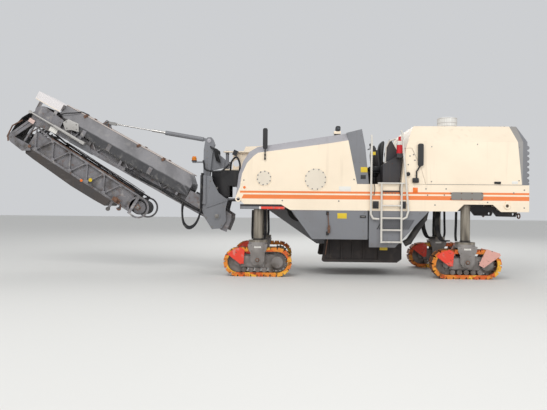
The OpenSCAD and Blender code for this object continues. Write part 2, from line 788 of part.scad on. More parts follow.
module yoke_front_left() { yoke(0); }

module yoke_front_right() { mirror([0, 1, 0]) yoke(0); }

module yoke_rear_left() { yoke(wheelbase); }

module yoke_rear_right() { mirror([0, 1, 0]) yoke(wheelbase); }

module track_front_left() { track(0); }

module track_front_right() { mirror([0, 1, 0]) track(0); }

module track_rear_left() { track(wheelbase); }

module track_rear_right() { mirror([0, 1, 0]) track(wheelbase); }

// discharge conveyor
module inner_section() {
    at_station() translate([lift_s, 0, lift_z]) rotate([0, rest_angle, 0]) mirror([1, 0, 0]) children();
}

module outer_section() {
    at_station() translate([fold_s, 0, fold_z]) rotate([0, fold_angle, 0]) mirror([0, 0, 1]) children();
}

post_s = -1112;
post_z = 2775;

module slew_console() {
    plate_in = conv_hw + 8;
    plate_out = conv_hw + 28;
    boss_low = 2186;
    color(grey) at_station() {
        // post with the pin for the lift cylinder
        difference() {
            union() {
                side([[-1250, 1990], [-1110, 1990], [-1040, 2600], [-1010, 2690], [post_s + 60, 2800],
                      [post_s + 30, 2838], [post_s - 45, 2838], [post_s - 100, 2790], [-1245, 2560]], -80, 80);
                box(-1250, -1120, -plate_out, plate_out, 1930, 2000);
            }
            cross(post_s, post_z, 26, -90, 90);
            side([[-1300, 2690], [-1000, 2690], [-1000, 2900], [-1300, 2900]], -32, 32);
        }
        // gusset and boss round the slewing pin
        side([[-1090, 2573], [-1034, 2573], [slew_s + 20, boss_low + 130], [slew_s + 20, boss_low],
              [slew_s - 60, boss_low], [slew_s - hopper_r - 15, 2124], [-1130, 2005]], -20, 20);
        upright(slew_s, 0, 66, boss_low, boss_low + 130);
        upright(slew_s, 0, pin_r, arm_low - 12, arm_high + arm_t + 14);
        // side plates that carry the lift pivot
        both_sides() {
            difference() {
                side([[-1250, 2000], [-1010, 1985], [-990, 1880], [-864, 1636], [-675, 1491], [-720, 1300],
                      [-700, 1060], [-800, 900], [-1000, 880], [-1155, 1120], [-1250, 1400]],
                     plate_in, plate_out);
                cross(lift_s, lift_z, 30 + run_gap, plate_in - 10, plate_out + 30);
            }
            // stiffening flange down the post, rib across the gusset
            box(-1250, -1130, plate_in, conv_hw + 60, 1400, 2000);
            bar([-1120, 1340], [-720, 1480], 30, plate_out - 1, conv_hw + 44);
            difference() {
                cross(lift_s, lift_z, 70, plate_out - 1, conv_hw + 40);
                cross(lift_s, lift_z, 30 + run_gap, plate_in - 10, conv_hw + 50);
            }
            // wings of the turning ring
            box(slew_s - 130, slew_s + 30, ring_r + 40, plate_in + 1, ring_z + 36, ring_z + 60);
        }
        difference() {
            upright(slew_s, 0, ring_r + 70, ring_z + 30 + run_gap, ring_z + 60);
            upright(slew_s, 0, ring_r, ring_z, ring_z + 70);
        }
        // arm with the beacon's foot
        box(-1470, -1200, 10, 50, 2290, 2320);
        upright(-1455, 30, 40, 2290, 2330);
    }
}

module transfer_hood() {
    color(black) at_station() difference() {
        union() {
            upright(slew_s, 0, hopper_r, 1560, 2115);
            box(slew_s, nose_s + 130, -hopper_r, hopper_r, 1790, 2115);
            both_sides() box(nose_s + 110, nose_s + 130, hopper_r - 1, tunnel_hw - seat_gap, 1800, 1980);
        }
        upright(slew_s, 0, hopper_r - 12, 1550, 2103);
        box(slew_s, nose_s + 140, 12 - hopper_r, hopper_r - 12, 1550, 2103);
    }
}

// lift cylinder from the post's top to the inner section
lug_u = 3100;
lug_v = 590;
lug_s = lift_s - lug_u * cos(rest_angle) + lug_v * sin(rest_angle);
lug_z = lift_z + lug_u * sin(rest_angle) + lug_v * cos(rest_angle);
tie_len = norm([lug_s - post_s, lug_z - post_z]);
tie_angle = atan2(lug_z - post_z, post_s - lug_s);

module along_tie() {
    at_station() translate([post_s, 0, post_z]) rotate([0, tie_angle - 90, 0]) children();
}

module lift_cylinder() {
    color(grey) along_tie() {
        difference() {
            union() {
                translate([0, 0, 150]) cylinder(r = 48, h = 840);
                translate([-30, -26, 0]) cube([60, 52, 170]);
                translate([0, 26, 0]) rotate([90, 0, 0]) cylinder(r = 45, h = 52);
            }
            translate([0, 0, 180]) cylinder(r = 27, h = 900);
        }
        translate([0, 80, 0]) rotate([90, 0, 0]) cylinder(r = 25.5, h = 160);
    }
}

module lift_rod() {
    color(grey) along_tie() {
        translate([0, 0, 260]) cylinder(r = 26.5, h = 1030);
        translate([0, 0, 1289]) cylinder(r = 14, h = tie_len - 1289 - 160);
        for (y = [-40, 22]) difference() {
            translate([-30, y, tie_len - 180]) cube([60, 18, 220]);
            translate([0, y - 1, tie_len]) rotate([-90, 0, 0]) cylinder(r = 22, h = 20);
        }
        translate([-25, -40, tie_len - 185]) cube([50, 80, 30]);
    }
}

// lower edge of the inner section's cover
function cover_edge(u) = 40 + max(u - 2900, 0) * (201 - 40) / (3792 - 2900);
rail_top = rail_h - chord_drop;

module inner_frame() {
    color(dark) inner_section() {
        both_sides() {
            // side rail with three lips along its outer face
            box(-100, inner_len - 90, conv_hw - 60, conv_hw - 13, -chord_drop, rail_top);
            for (v = [-chord_drop, rail_top - rail_h / 2 - 5, rail_top - 10])
                box(-100, inner_len - 90, conv_hw - 14, conv_hw - 5, v, v + 10);
            // pairs of short struts above the rail
            for (u = [1300, 2100, 2900, 3480]) {
                bar([u, rail_top - 10], [u + 190, cover_edge(u + 190) + 40], 22, conv_hw - 55, conv_hw - 32);
                bar([u, rail_top - 10], [u - 90, cover_edge(u) + 30], 22, conv_hw - 55, conv_hw - 32);
            }
            // tail plates with the lift pins
            side([[-330, -190], [-300, 60], [-250, 180], [300, 230], [750, 200], [750, -90], [100, -146],
                  [-100, -150], [-200, -205]], conv_hw - 25, conv_hw - 5);
            // head plates at the fold pivot
            difference() {
                side([[3800, -chord_drop], [3800, 190], [4300, 255], [4440, 180], [inner_len + 60, -100],
                      [inner_len + 40, -chord_drop - 50], [inner_len - 60, -chord_drop - 50]],
                     conv_hw - 5, conv_hw + 7);
                cross(inner_len, -chord_drop, 30 + run_gap, conv_hw - 10, conv_hw + 10);
            }
            for (u = [4000, 4380]) box(u, u + 70, conv_hw - 14, conv_hw + 3, 100, 300 - seat_gap);
            cross(0, 0, 30, conv_hw - 26, conv_hw + 34);
            // ribs under the cover's walls
            for (u = [950, 2300, 3300])
                box(u, u + 50, conv_hw - 25, conv_hw - 5, -110, cover_edge(u) - seat_gap);
            // boards beside the belt
            box(150, 4150, belt_hw + 8, belt_hw + 18, 20 - chord_drop, 60);
            // bent posts of the arch that carries the lift lug
            box(lug_u - 30, lug_u + 30, conv_hw - 60, conv_hw - 32, rail_top - 10, 225);
            rod([lug_u, conv_hw - 48, 212], [lug_u, 225, 452], 18);
        }
        for (u = [300, 1500, 2700, 3900]) box(u, u + 60, -conv_hw + 55, conv_hw - 55, -140, -100);
        // pulleys inside the belt
        cross(-120, 40, pulley_r(95), -belt_hw, belt_hw);
        cross(-120, 40, 25, -conv_hw + 10, conv_hw - 10);
        cross(4300, 200, pulley_r(55), -belt_hw, belt_hw);
        cross(4300, 200, 20, -conv_hw - 1, conv_hw + 1);
        // top of the arch and the lug for the lift cylinder
        box(lug_u - 25, lug_u + 25, -238, 238, 430, 470);
        side([[lug_u - 120, 450], [lug_u - 60, 630], [lug_u + 60, 630], [lug_u + 120, 450]], -16, 16);
    }
}

// section of the cover across the conveyor, t inside, from u0 to u1
module cover_section(t, u0, u1) {
    hw = conv_hw - 4 - t;
    translate([u0, 0, 0]) rotate([90, 0, 90]) linear_extrude(u1 - u0)
        polygon([[-hw, -80], [-hw, 240 - t / 2], [-260 + t / 2, 508 - t], [260 - t / 2, 508 - t],
                 [hw, 240 - t / 2], [hw, -80]]);
}

module inner_cover() {
    color(grey) inner_section() difference() {
        intersection() {
            cover_section(0, 700, 3965);
            side([[760, 60], [780, 330], [950, 510], [3965, 510], [3965, 300], [3792, 201], [2900, 40], [904, 40]],
                 -conv_hw, conv_hw);
        }
        cover_section(22, 690, 3980);
        box(lug_u - 125, lug_u + 125, -17, 17, 440, 520);
    }
}

module inner_head_cover() {
    color(cream) inner_section() difference() {
        box(3966, 4560, -conv_hw - 4, conv_hw + 4, 300, 480);
        box(3900, 4600, -conv_hw + 6, conv_hw - 6, 290, 470);
    }
}

module inner_belt() {
    color(black) inner_section() belt([-120, 40], 95, [4300, 200], 55, belt_hw);
}

module fold_cylinders() {
    color(grey) inner_section() both_sides() {
        rod([3200, conv_hw + 65, -26], [3900, conv_hw + 65, -5], 30);
        rod([3890, conv_hw + 65, -5], [4470, conv_hw + 65, 10], 17);
        cross(4488, 10, 32, conv_hw + 47, conv_hw + 83);
        // bracket on the side rail
        side([[2914, -155], [3492, -155], [3400, -20], [3060, -20]], conv_hw - 5 + seat_gap, conv_hw + 8);
        box(3160, 3260, conv_hw + 7, conv_hw + 95, rail_top + 2, 10);
    }
}

module beacon() {
    color([0.85, 0.33, 0.08]) at_station() {
        upright(-1455, 30, 52, 2330, 2395);
        translate([-1455, 30, 2395]) cylinder(r1 = 52, r2 = 36, h = 35);
    }
}

// middle and width of the outer section's lower rails
rail_v = 490;
rail_w = 44;

module outer_frame() {
    color(dark) outer_section() {
        both_sides() {
            // rails, and the zigzag between them
            bar([40, rail_v], [outer_len - 90, rail_v], rail_w, conv_hw - 60, conv_hw - 20);
            bar([45, 40], [500, 105], 34, conv_hw - 60, conv_hw - 20);
            bar([490, 105], [outer_len - 100, 118], 34, conv_hw - 60, conv_hw - 20);
            bar([62, 50], [62, rail_v], 34, conv_hw - 60, conv_hw - 20);
            for (u = [150 : 430 : 2100]) {
                bar([u, 100], [u + 200, rail_v - 15], 26, conv_hw - 52, conv_hw - 28);
                bar([u + 200, rail_v - 15], [u + 430, 112], 26, conv_hw - 52, conv_hw - 28);
            }
            // boards beside the belt
            box(150, 2650, belt_hw + 8, belt_hw + 18, 130, rail_v - 5);
            // fold arms outside the inner section's head, and their elbow
            cross(0, 0, 70, conv_hw + 12, conv_hw + 30);
            bar([-30, -40], [-250, 500], 50, conv_hw + 12, conv_hw + 30);
            bar([20, 30], [-190, 500], 60, conv_hw + 12, conv_hw + 30);
            side([[-300, 455], [-290, 560], [-160, 610], [150, 640], [300, 540], [240, 445], [-120, 470],
                  [-200, 440]], conv_hw + 12, conv_hw + 30);
            cross(0, 0, 30, conv_hw - 12, conv_hw + 31);
            cross(240, rail_v - 20, 35, conv_hw - 60, conv_hw + 30);
            // guards round the discharge drum, each with a flat strap
            difference() {
                cross(outer_len, 326, 230, conv_hw - 20, conv_hw - 5);
                cross(outer_len, 326, 192, conv_hw - 25, conv_hw);
            }
            bar([outer_len - 105, 100], [outer_len - 105, 545], 60, conv_hw - 24, conv_hw - 4);
            // hanger of the belt's scraper
            bar([2330, rail_v], [2330, 700], 50, conv_hw - 50, conv_hw - 30);
            cross(2330, 700, 42, conv_hw - 60, conv_hw - 20);
        }
        for (u = [300, 1100, 1900]) box(u, u + 50, -conv_hw + 50, conv_hw - 50, 85, 120);
        for (u = [700, 1500, 2330]) box(u, u + 40, -conv_hw + 50, conv_hw - 50, rail_v - 15, rail_v + 14);
        // discharge drum and end roller inside the belt
        cross(outer_len, 326, pulley_r(drum_pulley_r), -belt_hw, belt_hw);
        cross(outer_len, 326, 30, -conv_hw + 10, conv_hw - 10);
        cross(62, 300, pulley_r(55), -belt_hw, belt_hw);
        cross(62, 300, 15, -conv_hw + 50, conv_hw - 50);
    }
}

module outer_cover() {
    wall = conv_hw - 14;
    edge = rail_v + rail_w / 2 + seat_gap;
    color(grey) outer_section() difference() {
        side([[80, edge], [108, 598], [196, 603], [226, 650], [424, 668], [945, 690], [1417, 711], [1987, 697], [2240, 680], [2290, edge]],
             -wall, wall);
        side([[70, edge - 9], [122, 580], [210, 585], [240, 632], [424, 648], [945, 670], [1417, 691], [1987, 677], [2225, 660],
              [2275, edge - 9]], -wall + 16, wall - 16);
    }
}

module outer_belt() {
    color(black) outer_section() belt([62, 300], 55, [outer_len, 326], drum_pulley_r, belt_hw);
}

// a strip of even thickness along a line of (u, v) points
function strip(pts, thick) =
    let (n = len(pts) - 1,
         inner = [for (i = [0 : n])
            let (d = pts[min(i + 1, n)] - pts[max(i - 1, 0)])
            pts[i] + thick * [d[1], -d[0]] / norm(d)])
    concat(pts, [for (i = [n : -1 : 0]) inner[i]]);

module belt_loop() {
    // slack of the belt where the two sections fold, from one section's end round to the other's
    color(black) outer_section()
        side(strip([[-13.3, -350], [-60, -240], [-200, -110], [-285, 60], [-325, 280], [slack_u, slack_v],
                    [-230, 620], [-110, 560], [-20, 400], [6.6, 300]], belt_t), -belt_hw, belt_hw);
}

chassis_frame();
slew_bearing();
front_body();
top_cover();
rear_body();
platform();
bulkhead();
consoles();
seats();
rails_ladders();
drum_housing();
collecting_conveyor();
collecting_belt();
engine();
lamps_mirrors();
fire_extinguisher();
suction_duct();
engine_hood();
rear_grille();
milling_drum();
side_plate_left();
side_plate_right();
scraper_blade();
leg_front_left();
leg_front_right();
leg_rear_left();
leg_rear_right();
yoke_front_left();
yoke_front_right();
yoke_rear_left();
yoke_rear_right();
track_front_left();
track_front_right();
track_rear_left();
track_rear_right();
slew_console();
transfer_hood();
lift_cylinder();
lift_rod();
inner_frame();
inner_cover();
inner_head_cover();
inner_belt();
fold_cylinders();
beacon();
outer_frame();
outer_cover();
outer_belt();
belt_loop();
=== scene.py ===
"""Looks of a used cold planer: a road milling machine on four track units with a folded discharge conveyor.

The CAD nodes keep their shapes and get worn paint, rubber and steel. Bolts, stripes' paint, plates, hoses,
the tarpaulin and small fittings are added here. Sizes are in millimetres: s runs rearward from the front
legs' axis, y to the left and z up from the ground, and at() turns them into the frame.
"""
import math
import random

import bmesh
import bpy
from mathutils import Matrix, Vector


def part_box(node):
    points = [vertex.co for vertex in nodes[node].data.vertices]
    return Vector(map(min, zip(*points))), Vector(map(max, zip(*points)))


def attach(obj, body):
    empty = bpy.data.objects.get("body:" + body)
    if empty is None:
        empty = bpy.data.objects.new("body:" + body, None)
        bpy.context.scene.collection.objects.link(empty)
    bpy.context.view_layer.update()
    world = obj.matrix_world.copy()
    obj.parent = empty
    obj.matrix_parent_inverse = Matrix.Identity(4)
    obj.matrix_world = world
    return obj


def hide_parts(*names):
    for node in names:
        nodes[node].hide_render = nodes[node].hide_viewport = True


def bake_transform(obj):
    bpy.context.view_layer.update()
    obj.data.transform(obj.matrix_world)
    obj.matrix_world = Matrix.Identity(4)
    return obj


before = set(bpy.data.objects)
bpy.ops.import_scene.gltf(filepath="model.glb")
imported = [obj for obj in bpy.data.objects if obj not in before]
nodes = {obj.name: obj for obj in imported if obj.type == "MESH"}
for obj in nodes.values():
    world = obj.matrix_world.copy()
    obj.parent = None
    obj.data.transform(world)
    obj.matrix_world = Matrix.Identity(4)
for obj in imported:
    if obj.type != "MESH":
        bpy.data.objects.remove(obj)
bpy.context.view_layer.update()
random.seed(7)

# The front legs' axis is in metres, and every size after it in millimetres
MM = 0.001
LEG_X = sum(c[0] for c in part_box("leg_front_left")) / 2
WHEELBASE = (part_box("leg_front_left")[0][0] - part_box("leg_rear_left")[0][0]) / MM
TRACK_Y = sum(c[1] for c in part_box("leg_front_left")) / 2 / MM
# half widths of the body, the hood's roof and the drum, and the outer plane of the rails
BODY_HW = 1200
ROOF_HW = 850
DRUM_HW = 750
RAIL_Y = BODY_HW + 45
# heights of the hood's roof, the platform, the turning joint and the track units' pins
HOOD_Z = 2985
DECK_Z = 1818
TURN_Z = 668
PIN_Z = 325
# the broad and the thin stripe: heights, where each starts, and the broad one's slant
STRIPE_LOW, STRIPE_HIGH = 1514, 1594
PIN_STRIPE_LOW, PIN_STRIPE_HIGH = 1625, 1665
STRIPE_S, PIN_STRIPE_S = -283, -354
STRIPE_SLANT = 0.48
# storage box on the rear panels
BOX_S, BOX_Z = (3707, 4313), (1519, 1673)
# seam of the hood's grey end panel at the platform's height, and its slant
SEAM_S, SEAM_SLANT = 5047, -0.1
# the intake cap on the hood
CAP_S, CAP_Y, CAP_TOP = 3865, 300, 3214
# pins that the inner conveyor section lifts on and the outer one folds on, and the slope of each at rest
LIFT_S, LIFT_Z, INNER_TILT = -900, 1150, math.radians(28.5)
FOLD_S, FOLD_Z, OUTER_TILT = -4815.4, 3109.7, math.radians(32)
# axis of the discharge drum on the outer section, and the outer faces of both sections' sides
END_U, END_V = 2860, 326
INNER_Y, HEAD_Y, ARM_Y, LATTICE_Y = 415, 427, 450, 400
# the four track units: station and side
UNITS = {"front_left": (0, 1), "front_right": (0, -1),
         "rear_left": (WHEELBASE, 1), "rear_right": (WHEELBASE, -1)}


def at(s, y, z):
    """A point in the frame, in metres, from station, side and height in millimetres."""
    return Vector((LEG_X - s * MM, y * MM, z * MM))


def inner(u, y, v):
    """A point of the inner conveyor section: u along it, y to the left and v above its lift pin."""
    s = LIFT_S - u * math.cos(INNER_TILT) + v * math.sin(INNER_TILT)
    return at(s, y, LIFT_Z + u * math.sin(INNER_TILT) + v * math.cos(INNER_TILT))


def outer(u, y, v):
    """A point of the outer section, folded under the inner one: u from the fold pin, v towards the ground."""
    s = FOLD_S + u * math.cos(OUTER_TILT) - v * math.sin(OUTER_TILT)
    return at(s, y, FOLD_Z - u * math.sin(OUTER_TILT) - v * math.cos(OUTER_TILT))


# Colours and materials


def rgb(hex_colour):
    """An sRGB hex colour as linear values."""
    out = []
    for i in (1, 3, 5):
        c = int(hex_colour[i:i + 2], 16) / 255
        out.append(c / 12.92 if c <= 0.04045 else ((c + 0.055) / 1.055) ** 2.4)
    return (*out, 1.0)


class Finish:
    """A material with a Principled shader, and masks that paint over it. Only add() makes nodes."""

    def __init__(self, name, colour, roughness, metallic=0.0, **sockets):
        """Its base; sockets are further inputs of the shader, with _ for a space."""
        self.material = bpy.data.materials.new(name)
        self.material.use_nodes = True
        self.tree = self.material.node_tree
        self.shader = self.tree.nodes["Principled BSDF"]
        self.shader.inputs["Base Color"].default_value = rgb(colour)
        self.shader.inputs["Roughness"].default_value = roughness
        self.shader.inputs["Metallic"].default_value = metallic
        for key, value in sockets.items():
            self.shader.inputs[key.replace("_", " ")].default_value = value
        coords = self.add("ShaderNodeTexCoord", out=None)
        self.here = coords.outputs["Object"]
        self.place = self.add("ShaderNodeSeparateXYZ", {"Vector": self.here}, None).outputs
        self.normal = self.add("ShaderNodeSeparateXYZ", {"Vector": coords.outputs["Normal"]}, None).outputs

    def add(self, kind, inputs=None, out=0, **settings):
        """A new node with its settings and inputs, plain values or nodes' outputs. It gives one output."""
        n = self.tree.nodes.new(kind)
        for key, value in settings.items():
            setattr(n, key, value)
        for key, value in (inputs or {}).items():
            if isinstance(value, bpy.types.NodeSocket):
                self.tree.links.new(value, n.inputs[key])
            else:
                n.inputs[key].default_value = value
        return n if out is None else n.outputs[out]

    def cloud(self, size_mm, detail=4, stretch=None, distortion=0.0):
        """Noise whose blobs are about size_mm across, drawn out along an axis where stretch is under 1."""
        where = self.here
        if stretch:
            where = self.add("ShaderNodeMapping", {"Vector": where, "Scale": stretch})
        scale = 1 / (size_mm * MM * 1.6)
        return self.add("ShaderNodeTexNoise", {"Vector": where, "Scale": scale, "Detail": detail,
                                               "Distortion": distortion})

    def patches(self, size_mm, low, high, detail=5, stretch=None):
        """Patches about size_mm across: 0 where the noise is under low and 1 where it is over high."""
        return self.add("ShaderNodeMapRange", {"Value": self.cloud(size_mm, detail, stretch), "From Min": low,
                                               "From Max": high})

    def both(self, *masks):
        """1 only where every mask is 1; a plain number thins the others."""
        whole = masks[0]
        for mask in masks[1:]:
            whole = self.add("ShaderNodeMath", {0: whole, 1: mask}, operation="MULTIPLY", use_clamp=True)
        return whole

    def between(self, source, low, high, soft=0.0015):
        """1 where source lies between low and high, in metres."""
        up = self.add("ShaderNodeMapRange", {"Value": source, "From Min": low - soft, "From Max": low + soft})
        down = {"Value": source, "From Min": high + soft, "From Max": high - soft}
        return self.both(up, self.add("ShaderNodeMapRange", down))

    def off(self, source, centre=0.0):
        """How far source lies from centre, to either side."""
        if centre:
            source = self.add("ShaderNodeMath", {0: source, 1: centre}, operation="SUBTRACT")
        return self.add("ShaderNodeMath", {0: source}, operation="ABSOLUTE")

    def paint(self, colour, mask, strength=None):
        """The base colour mixed towards colour where mask is 1."""
        base = self.shader.inputs["Base Color"]
        under = base.links[0].from_socket if base.is_linked else base.default_value
        mask = self.both(mask, strength) if strength else mask
        mixed = self.add("ShaderNodeMix", {"Factor": mask, 6: under, 7: rgb(colour)}, 2, data_type="RGBA")
        self.tree.links.new(mixed, base)

    def rough(self, value, mask):
        """The roughness mixed towards value where mask is 1."""
        socket = self.shader.inputs["Roughness"]
        under = socket.links[0].from_socket if socket.is_linked else socket.default_value
        mixed = self.add("ShaderNodeMix", {"Factor": mask, 2: under, 3: value}, data_type="FLOAT")
        self.tree.links.new(mixed, socket)

    def bump(self, height, depth_mm, strength=1.0):
        """The surface raised by up to depth_mm, on top of what is there."""
        socket = self.shader.inputs["Normal"]
        inputs = {"Height": height, "Distance": depth_mm * MM, "Strength": strength}
        if socket.is_linked:
            inputs["Normal"] = socket.links[0].from_socket
        self.tree.links.new(self.add("ShaderNodeBump", inputs), socket)


def weather(f, dirt, amount, streaks=True, rust=0.0, low_z=None):
    """Dust on top faces, streaks down the sides, mud near the ground and specks of rust."""
    f.paint(dirt, f.patches(420, 0.45, 0.75), 0.25 * amount)
    up = f.add("ShaderNodeMapRange", {"Value": f.normal["Z"], "From Min": 0.35, "From Max": 0.95})
    dust = f.both(up, f.patches(340, 0.25, 0.85, 6))
    f.paint(dirt, dust, 0.4 * amount)
    f.rough(0.85, dust)
    if streaks:
        runs = f.both(f.patches(60, 0.56, 0.75, 3, (1, 1, 0.06)), f.patches(500, 0.4, 0.7, 2))
        f.paint(dirt, runs, 0.55 * amount)
    if low_z:
        mud = f.add("ShaderNodeMapRange", {"Value": f.place["Z"], "From Min": low_z, "From Max": low_z - 0.5})
        f.paint("#4A4036", f.both(mud, f.patches(130, 0.3, 0.65, 6)))
    if rust:
        spots = f.both(f.patches(30, 0.74 - 0.14 * rust, 0.79 - 0.12 * rust, 7), f.patches(300, 0.42, 0.6, 3))
        f.paint("#5F4030", spots, 0.8)
        f.rough(0.9, spots)


def sprayed(name):
    """Two-pack enamel sprayed on steel panels, before its dust: cream, smooth and half gloss."""
    return Finish(name, "#FAE9D0", 0.34, Coat_Weight=0.25, Coat_Roughness=0.2)


def age_panel(f):
    """Fine dust and a few streaks on sprayed panels, which are slightly wavy and have an orange-peel skin."""
    weather(f, "#9A8366", 0.35)
    f.bump(f.cloud(700, 2), 2.0, 0.25)
    f.bump(f.cloud(2.5, 2), 0.05, 0.2)
    return f


def cream_enamel():
    """Sprayed enamel with nothing on it."""
    return age_panel(sprayed("cream enamel"))


def striped_enamel():
    """The same enamel with a broad and a thin orange stripe masked along both sides of the body."""
    f = sprayed("striped enamel")
    x, z = f.place["X"], f.place["Z"]
    # the broad stripe starts on a slant near the nose, the thin one a little before it
    front = f.add("ShaderNodeMath", {0: z, 1: STRIPE_SLANT, 2: x}, operation="MULTIPLY_ADD")
    start = at(STRIPE_S, 0, 0).x + STRIPE_SLANT * STRIPE_HIGH * MM
    begun = f.add("ShaderNodeMapRange", {"Value": front, "From Min": start + 0.002, "From Max": start})
    broad = f.both(f.between(z, STRIPE_LOW * MM, STRIPE_HIGH * MM), begun)
    start = at(PIN_STRIPE_S, 0, 0).x
    begun = f.add("ShaderNodeMapRange", {"Value": x, "From Min": start, "From Max": start - 0.002})
    thin = f.both(f.between(z, PIN_STRIPE_LOW * MM, PIN_STRIPE_HIGH * MM), begun)
    either = f.add("ShaderNodeMath", {0: broad, 1: thin}, operation="MAXIMUM", use_clamp=True)
    sideways = f.off(f.normal["Y"])
    on_side = f.add("ShaderNodeMapRange", {"Value": sideways, "From Min": 0.8, "From Max": 0.9})
    f.paint("#F08241", f.both(on_side, either))
    # the storage box stands proud of the panel, in grey
    box = f.both(f.between(x, at(BOX_S[1], 0, 0).x, at(BOX_S[0], 0, 0).x),
                 f.between(z, BOX_Z[0] * MM, BOX_Z[1] * MM))
    face = BODY_HW * MM
    proud = f.add("ShaderNodeMapRange", {"Value": f.off(f.place["Y"]), "From Min": face + 0.0003,
                                         "From Max": face + 0.0008})
    f.paint("#84827D", f.both(box, proud))
    return age_panel(f)


def hood_enamel():
    """The same enamel, with the grey end panel behind the hood's slanted seam and the pale intake cap."""
    f = sprayed("hood enamel")
    x, z = f.place["X"], f.place["Z"]
    seam = f.add("ShaderNodeMath", {0: z, 1: SEAM_SLANT, 2: x}, operation="MULTIPLY_ADD")
    edge = at(SEAM_S, 0, 0).x + SEAM_SLANT * DECK_Z * MM
    behind = f.add("ShaderNodeMapRange", {"Value": seam, "From Min": edge + 0.002, "From Max": edge})
    f.paint("#95928F", behind)
    roof = HOOD_Z * MM
    over = f.add("ShaderNodeMapRange", {"Value": z, "From Min": roof + 0.004, "From Max": roof + 0.008})
    f.paint("#E4E4E1", over)
    return age_panel(f)


def cover_enamel():
    """The round covers' enamel, a shade greyer than the panel round them."""
    f = Finish("cover enamel", "#E9DECC", 0.4)
    weather(f, "#8D7A62", 0.6)
    return f


def grey_enamel():
    """Mid grey enamel on frames and skirts: matt with age, chipped to primer and rust at places."""
    f = Finish("grey enamel", "#7E7F83", 0.48)
    weather(f, "#5A4E42", 0.8, rust=0.5, low_z=0.75)
    f.bump(f.cloud(3, 3), 0.08, 0.3)
    f.bump(f.cloud(500, 2), 2.0, 0.2)
    return f


def pale_enamel():
    """Pale grey enamel of the top cover, fairly clean."""
    f = Finish("pale grey enamel", "#A9A7AB", 0.42)
    weather(f, "#6B6154", 0.45)
    f.bump(f.cloud(3, 3), 0.08, 0.3)
    return f


def dark_enamel():
    """Dark grey enamel of beams under the machine, dull with oil and road dust."""
    f = Finish("dark enamel", "#37363A", 0.6)
    weather(f, "#5E5041", 1.0, rust=0.6, low_z=0.7)
    f.bump(f.cloud(4, 4), 0.2, 0.4)
    return f


def rail_enamel():
    """Hand rails and ladder: pale enamel, rubbed and dirty at the treads."""
    f = Finish("rail enamel", "#DAD5CC", 0.42)
    weather(f, "#7D6D5A", 0.6, rust=0.3)
    return f


def light_enamel():
    """Light grey enamel of small plates and of the intake cap's mesh."""
    f = Finish("light grey enamel", "#B4B1AD", 0.4)
    weather(f, "#5E5248", 0.8, rust=0.4)
    return f


def cylinder_enamel():
    """Light grey enamel of the fold cylinders, whose brackets are in the frame's darker grey."""
    f = Finish("fold cylinder enamel", "#B4B1AD", 0.4)
    bracket = 0.433
    within = f.add("ShaderNodeMapRange", {"Value": f.off(f.place["Y"]), "From Min": bracket + 0.001,
                                          "From Max": bracket})
    f.paint("#68686B", within)
    weather(f, "#5E5248", 0.8, rust=0.4)
    return f


def head_box_enamel():
    """Pale enamel of the head cover: white on its sides, grey with dust on top."""
    f = Finish("head box enamel", "#E4DFDE", 0.4)
    weather(f, "#8D7F70", 0.6, rust=0.3)
    return f


def truss_steel():
    """Painted sections of the conveyor: grey enamel over steel, scuffed pale at places, rust at others."""
    f = Finish("truss enamel", "#7E7C7F", 0.5)
    f.paint("#BDB7B2", f.patches(70, 0.54, 0.68), 0.6)
    f.paint("#39332F", f.patches(140, 0.5, 0.66), 0.75)
    f.paint("#6A4A3A", f.patches(48, 0.58, 0.72, 6), 0.6)
    weather(f, "#4A423A", 0.8)
    f.bump(f.cloud(5, 4), 0.3, 0.4)
    return f


def belly_plate():
    """Sheet under the outer section: dark brown-grey, scratched by stones and dusty."""
    f = Finish("belly plate enamel", "#433F3E", 0.62)
    f.paint("#3E3936", f.patches(170, 0.45, 0.68, 5, (0.3, 1, 1)), 0.7)
    f.paint("#66605C", f.patches(40, 0.58, 0.7, 6, (0.2, 1, 1)), 0.5)
    weather(f, "#5B4A3D", 0.9)
    f.bump(f.cloud(90, 4), 2.0, 0.3)
    return f


def belly_enamel():
    """Black-brown enamel of side plates, caked with dust."""
    f = Finish("side plate enamel", "#272120", 0.7)
    f.paint("#4A4039", f.patches(120, 0.5, 0.7, 6), 0.6)
    weather(f, "#4B4037", 0.5, rust=0.4)
    f.bump(f.cloud(12, 5), 1.0, 0.5)
    return f


def black_steel():
    """Black painted sheet, satin."""
    f = Finish("black enamel", "#1E1D20", 0.5)
    weather(f, "#5B544B", 0.5)
    return f


def red_enamel():
    """Glossy red enamel of the fire extinguisher and a cap."""
    f = Finish("red enamel", "#D2202B", 0.35)
    weather(f, "#5A2A22", 0.4)
    return f


def guard_red():
    """Red enamel of the level bars: faded, scratched to steel and dusty."""
    f = Finish("guard red enamel", "#EC4A38", 0.5)
    f.paint("#C9B2A8", f.patches(70, 0.6, 0.72, 6), 0.5)
    weather(f, "#7A4A3C", 0.6)
    return f


def pink_plate():
    """Plate in red enamel, faded to pink."""
    f = Finish("faded red enamel", "#D9BDB4", 0.55)
    weather(f, "#7A5A4C", 0.6, rust=0.4)
    return f


def ochre_enamel():
    """Yellow enamel of the lifting lugs, mostly rubbed off."""
    f = Finish("ochre enamel", "#C79A45", 0.6)
    f.paint("#6E4A36", f.patches(40, 0.45, 0.6, 6))
    return f


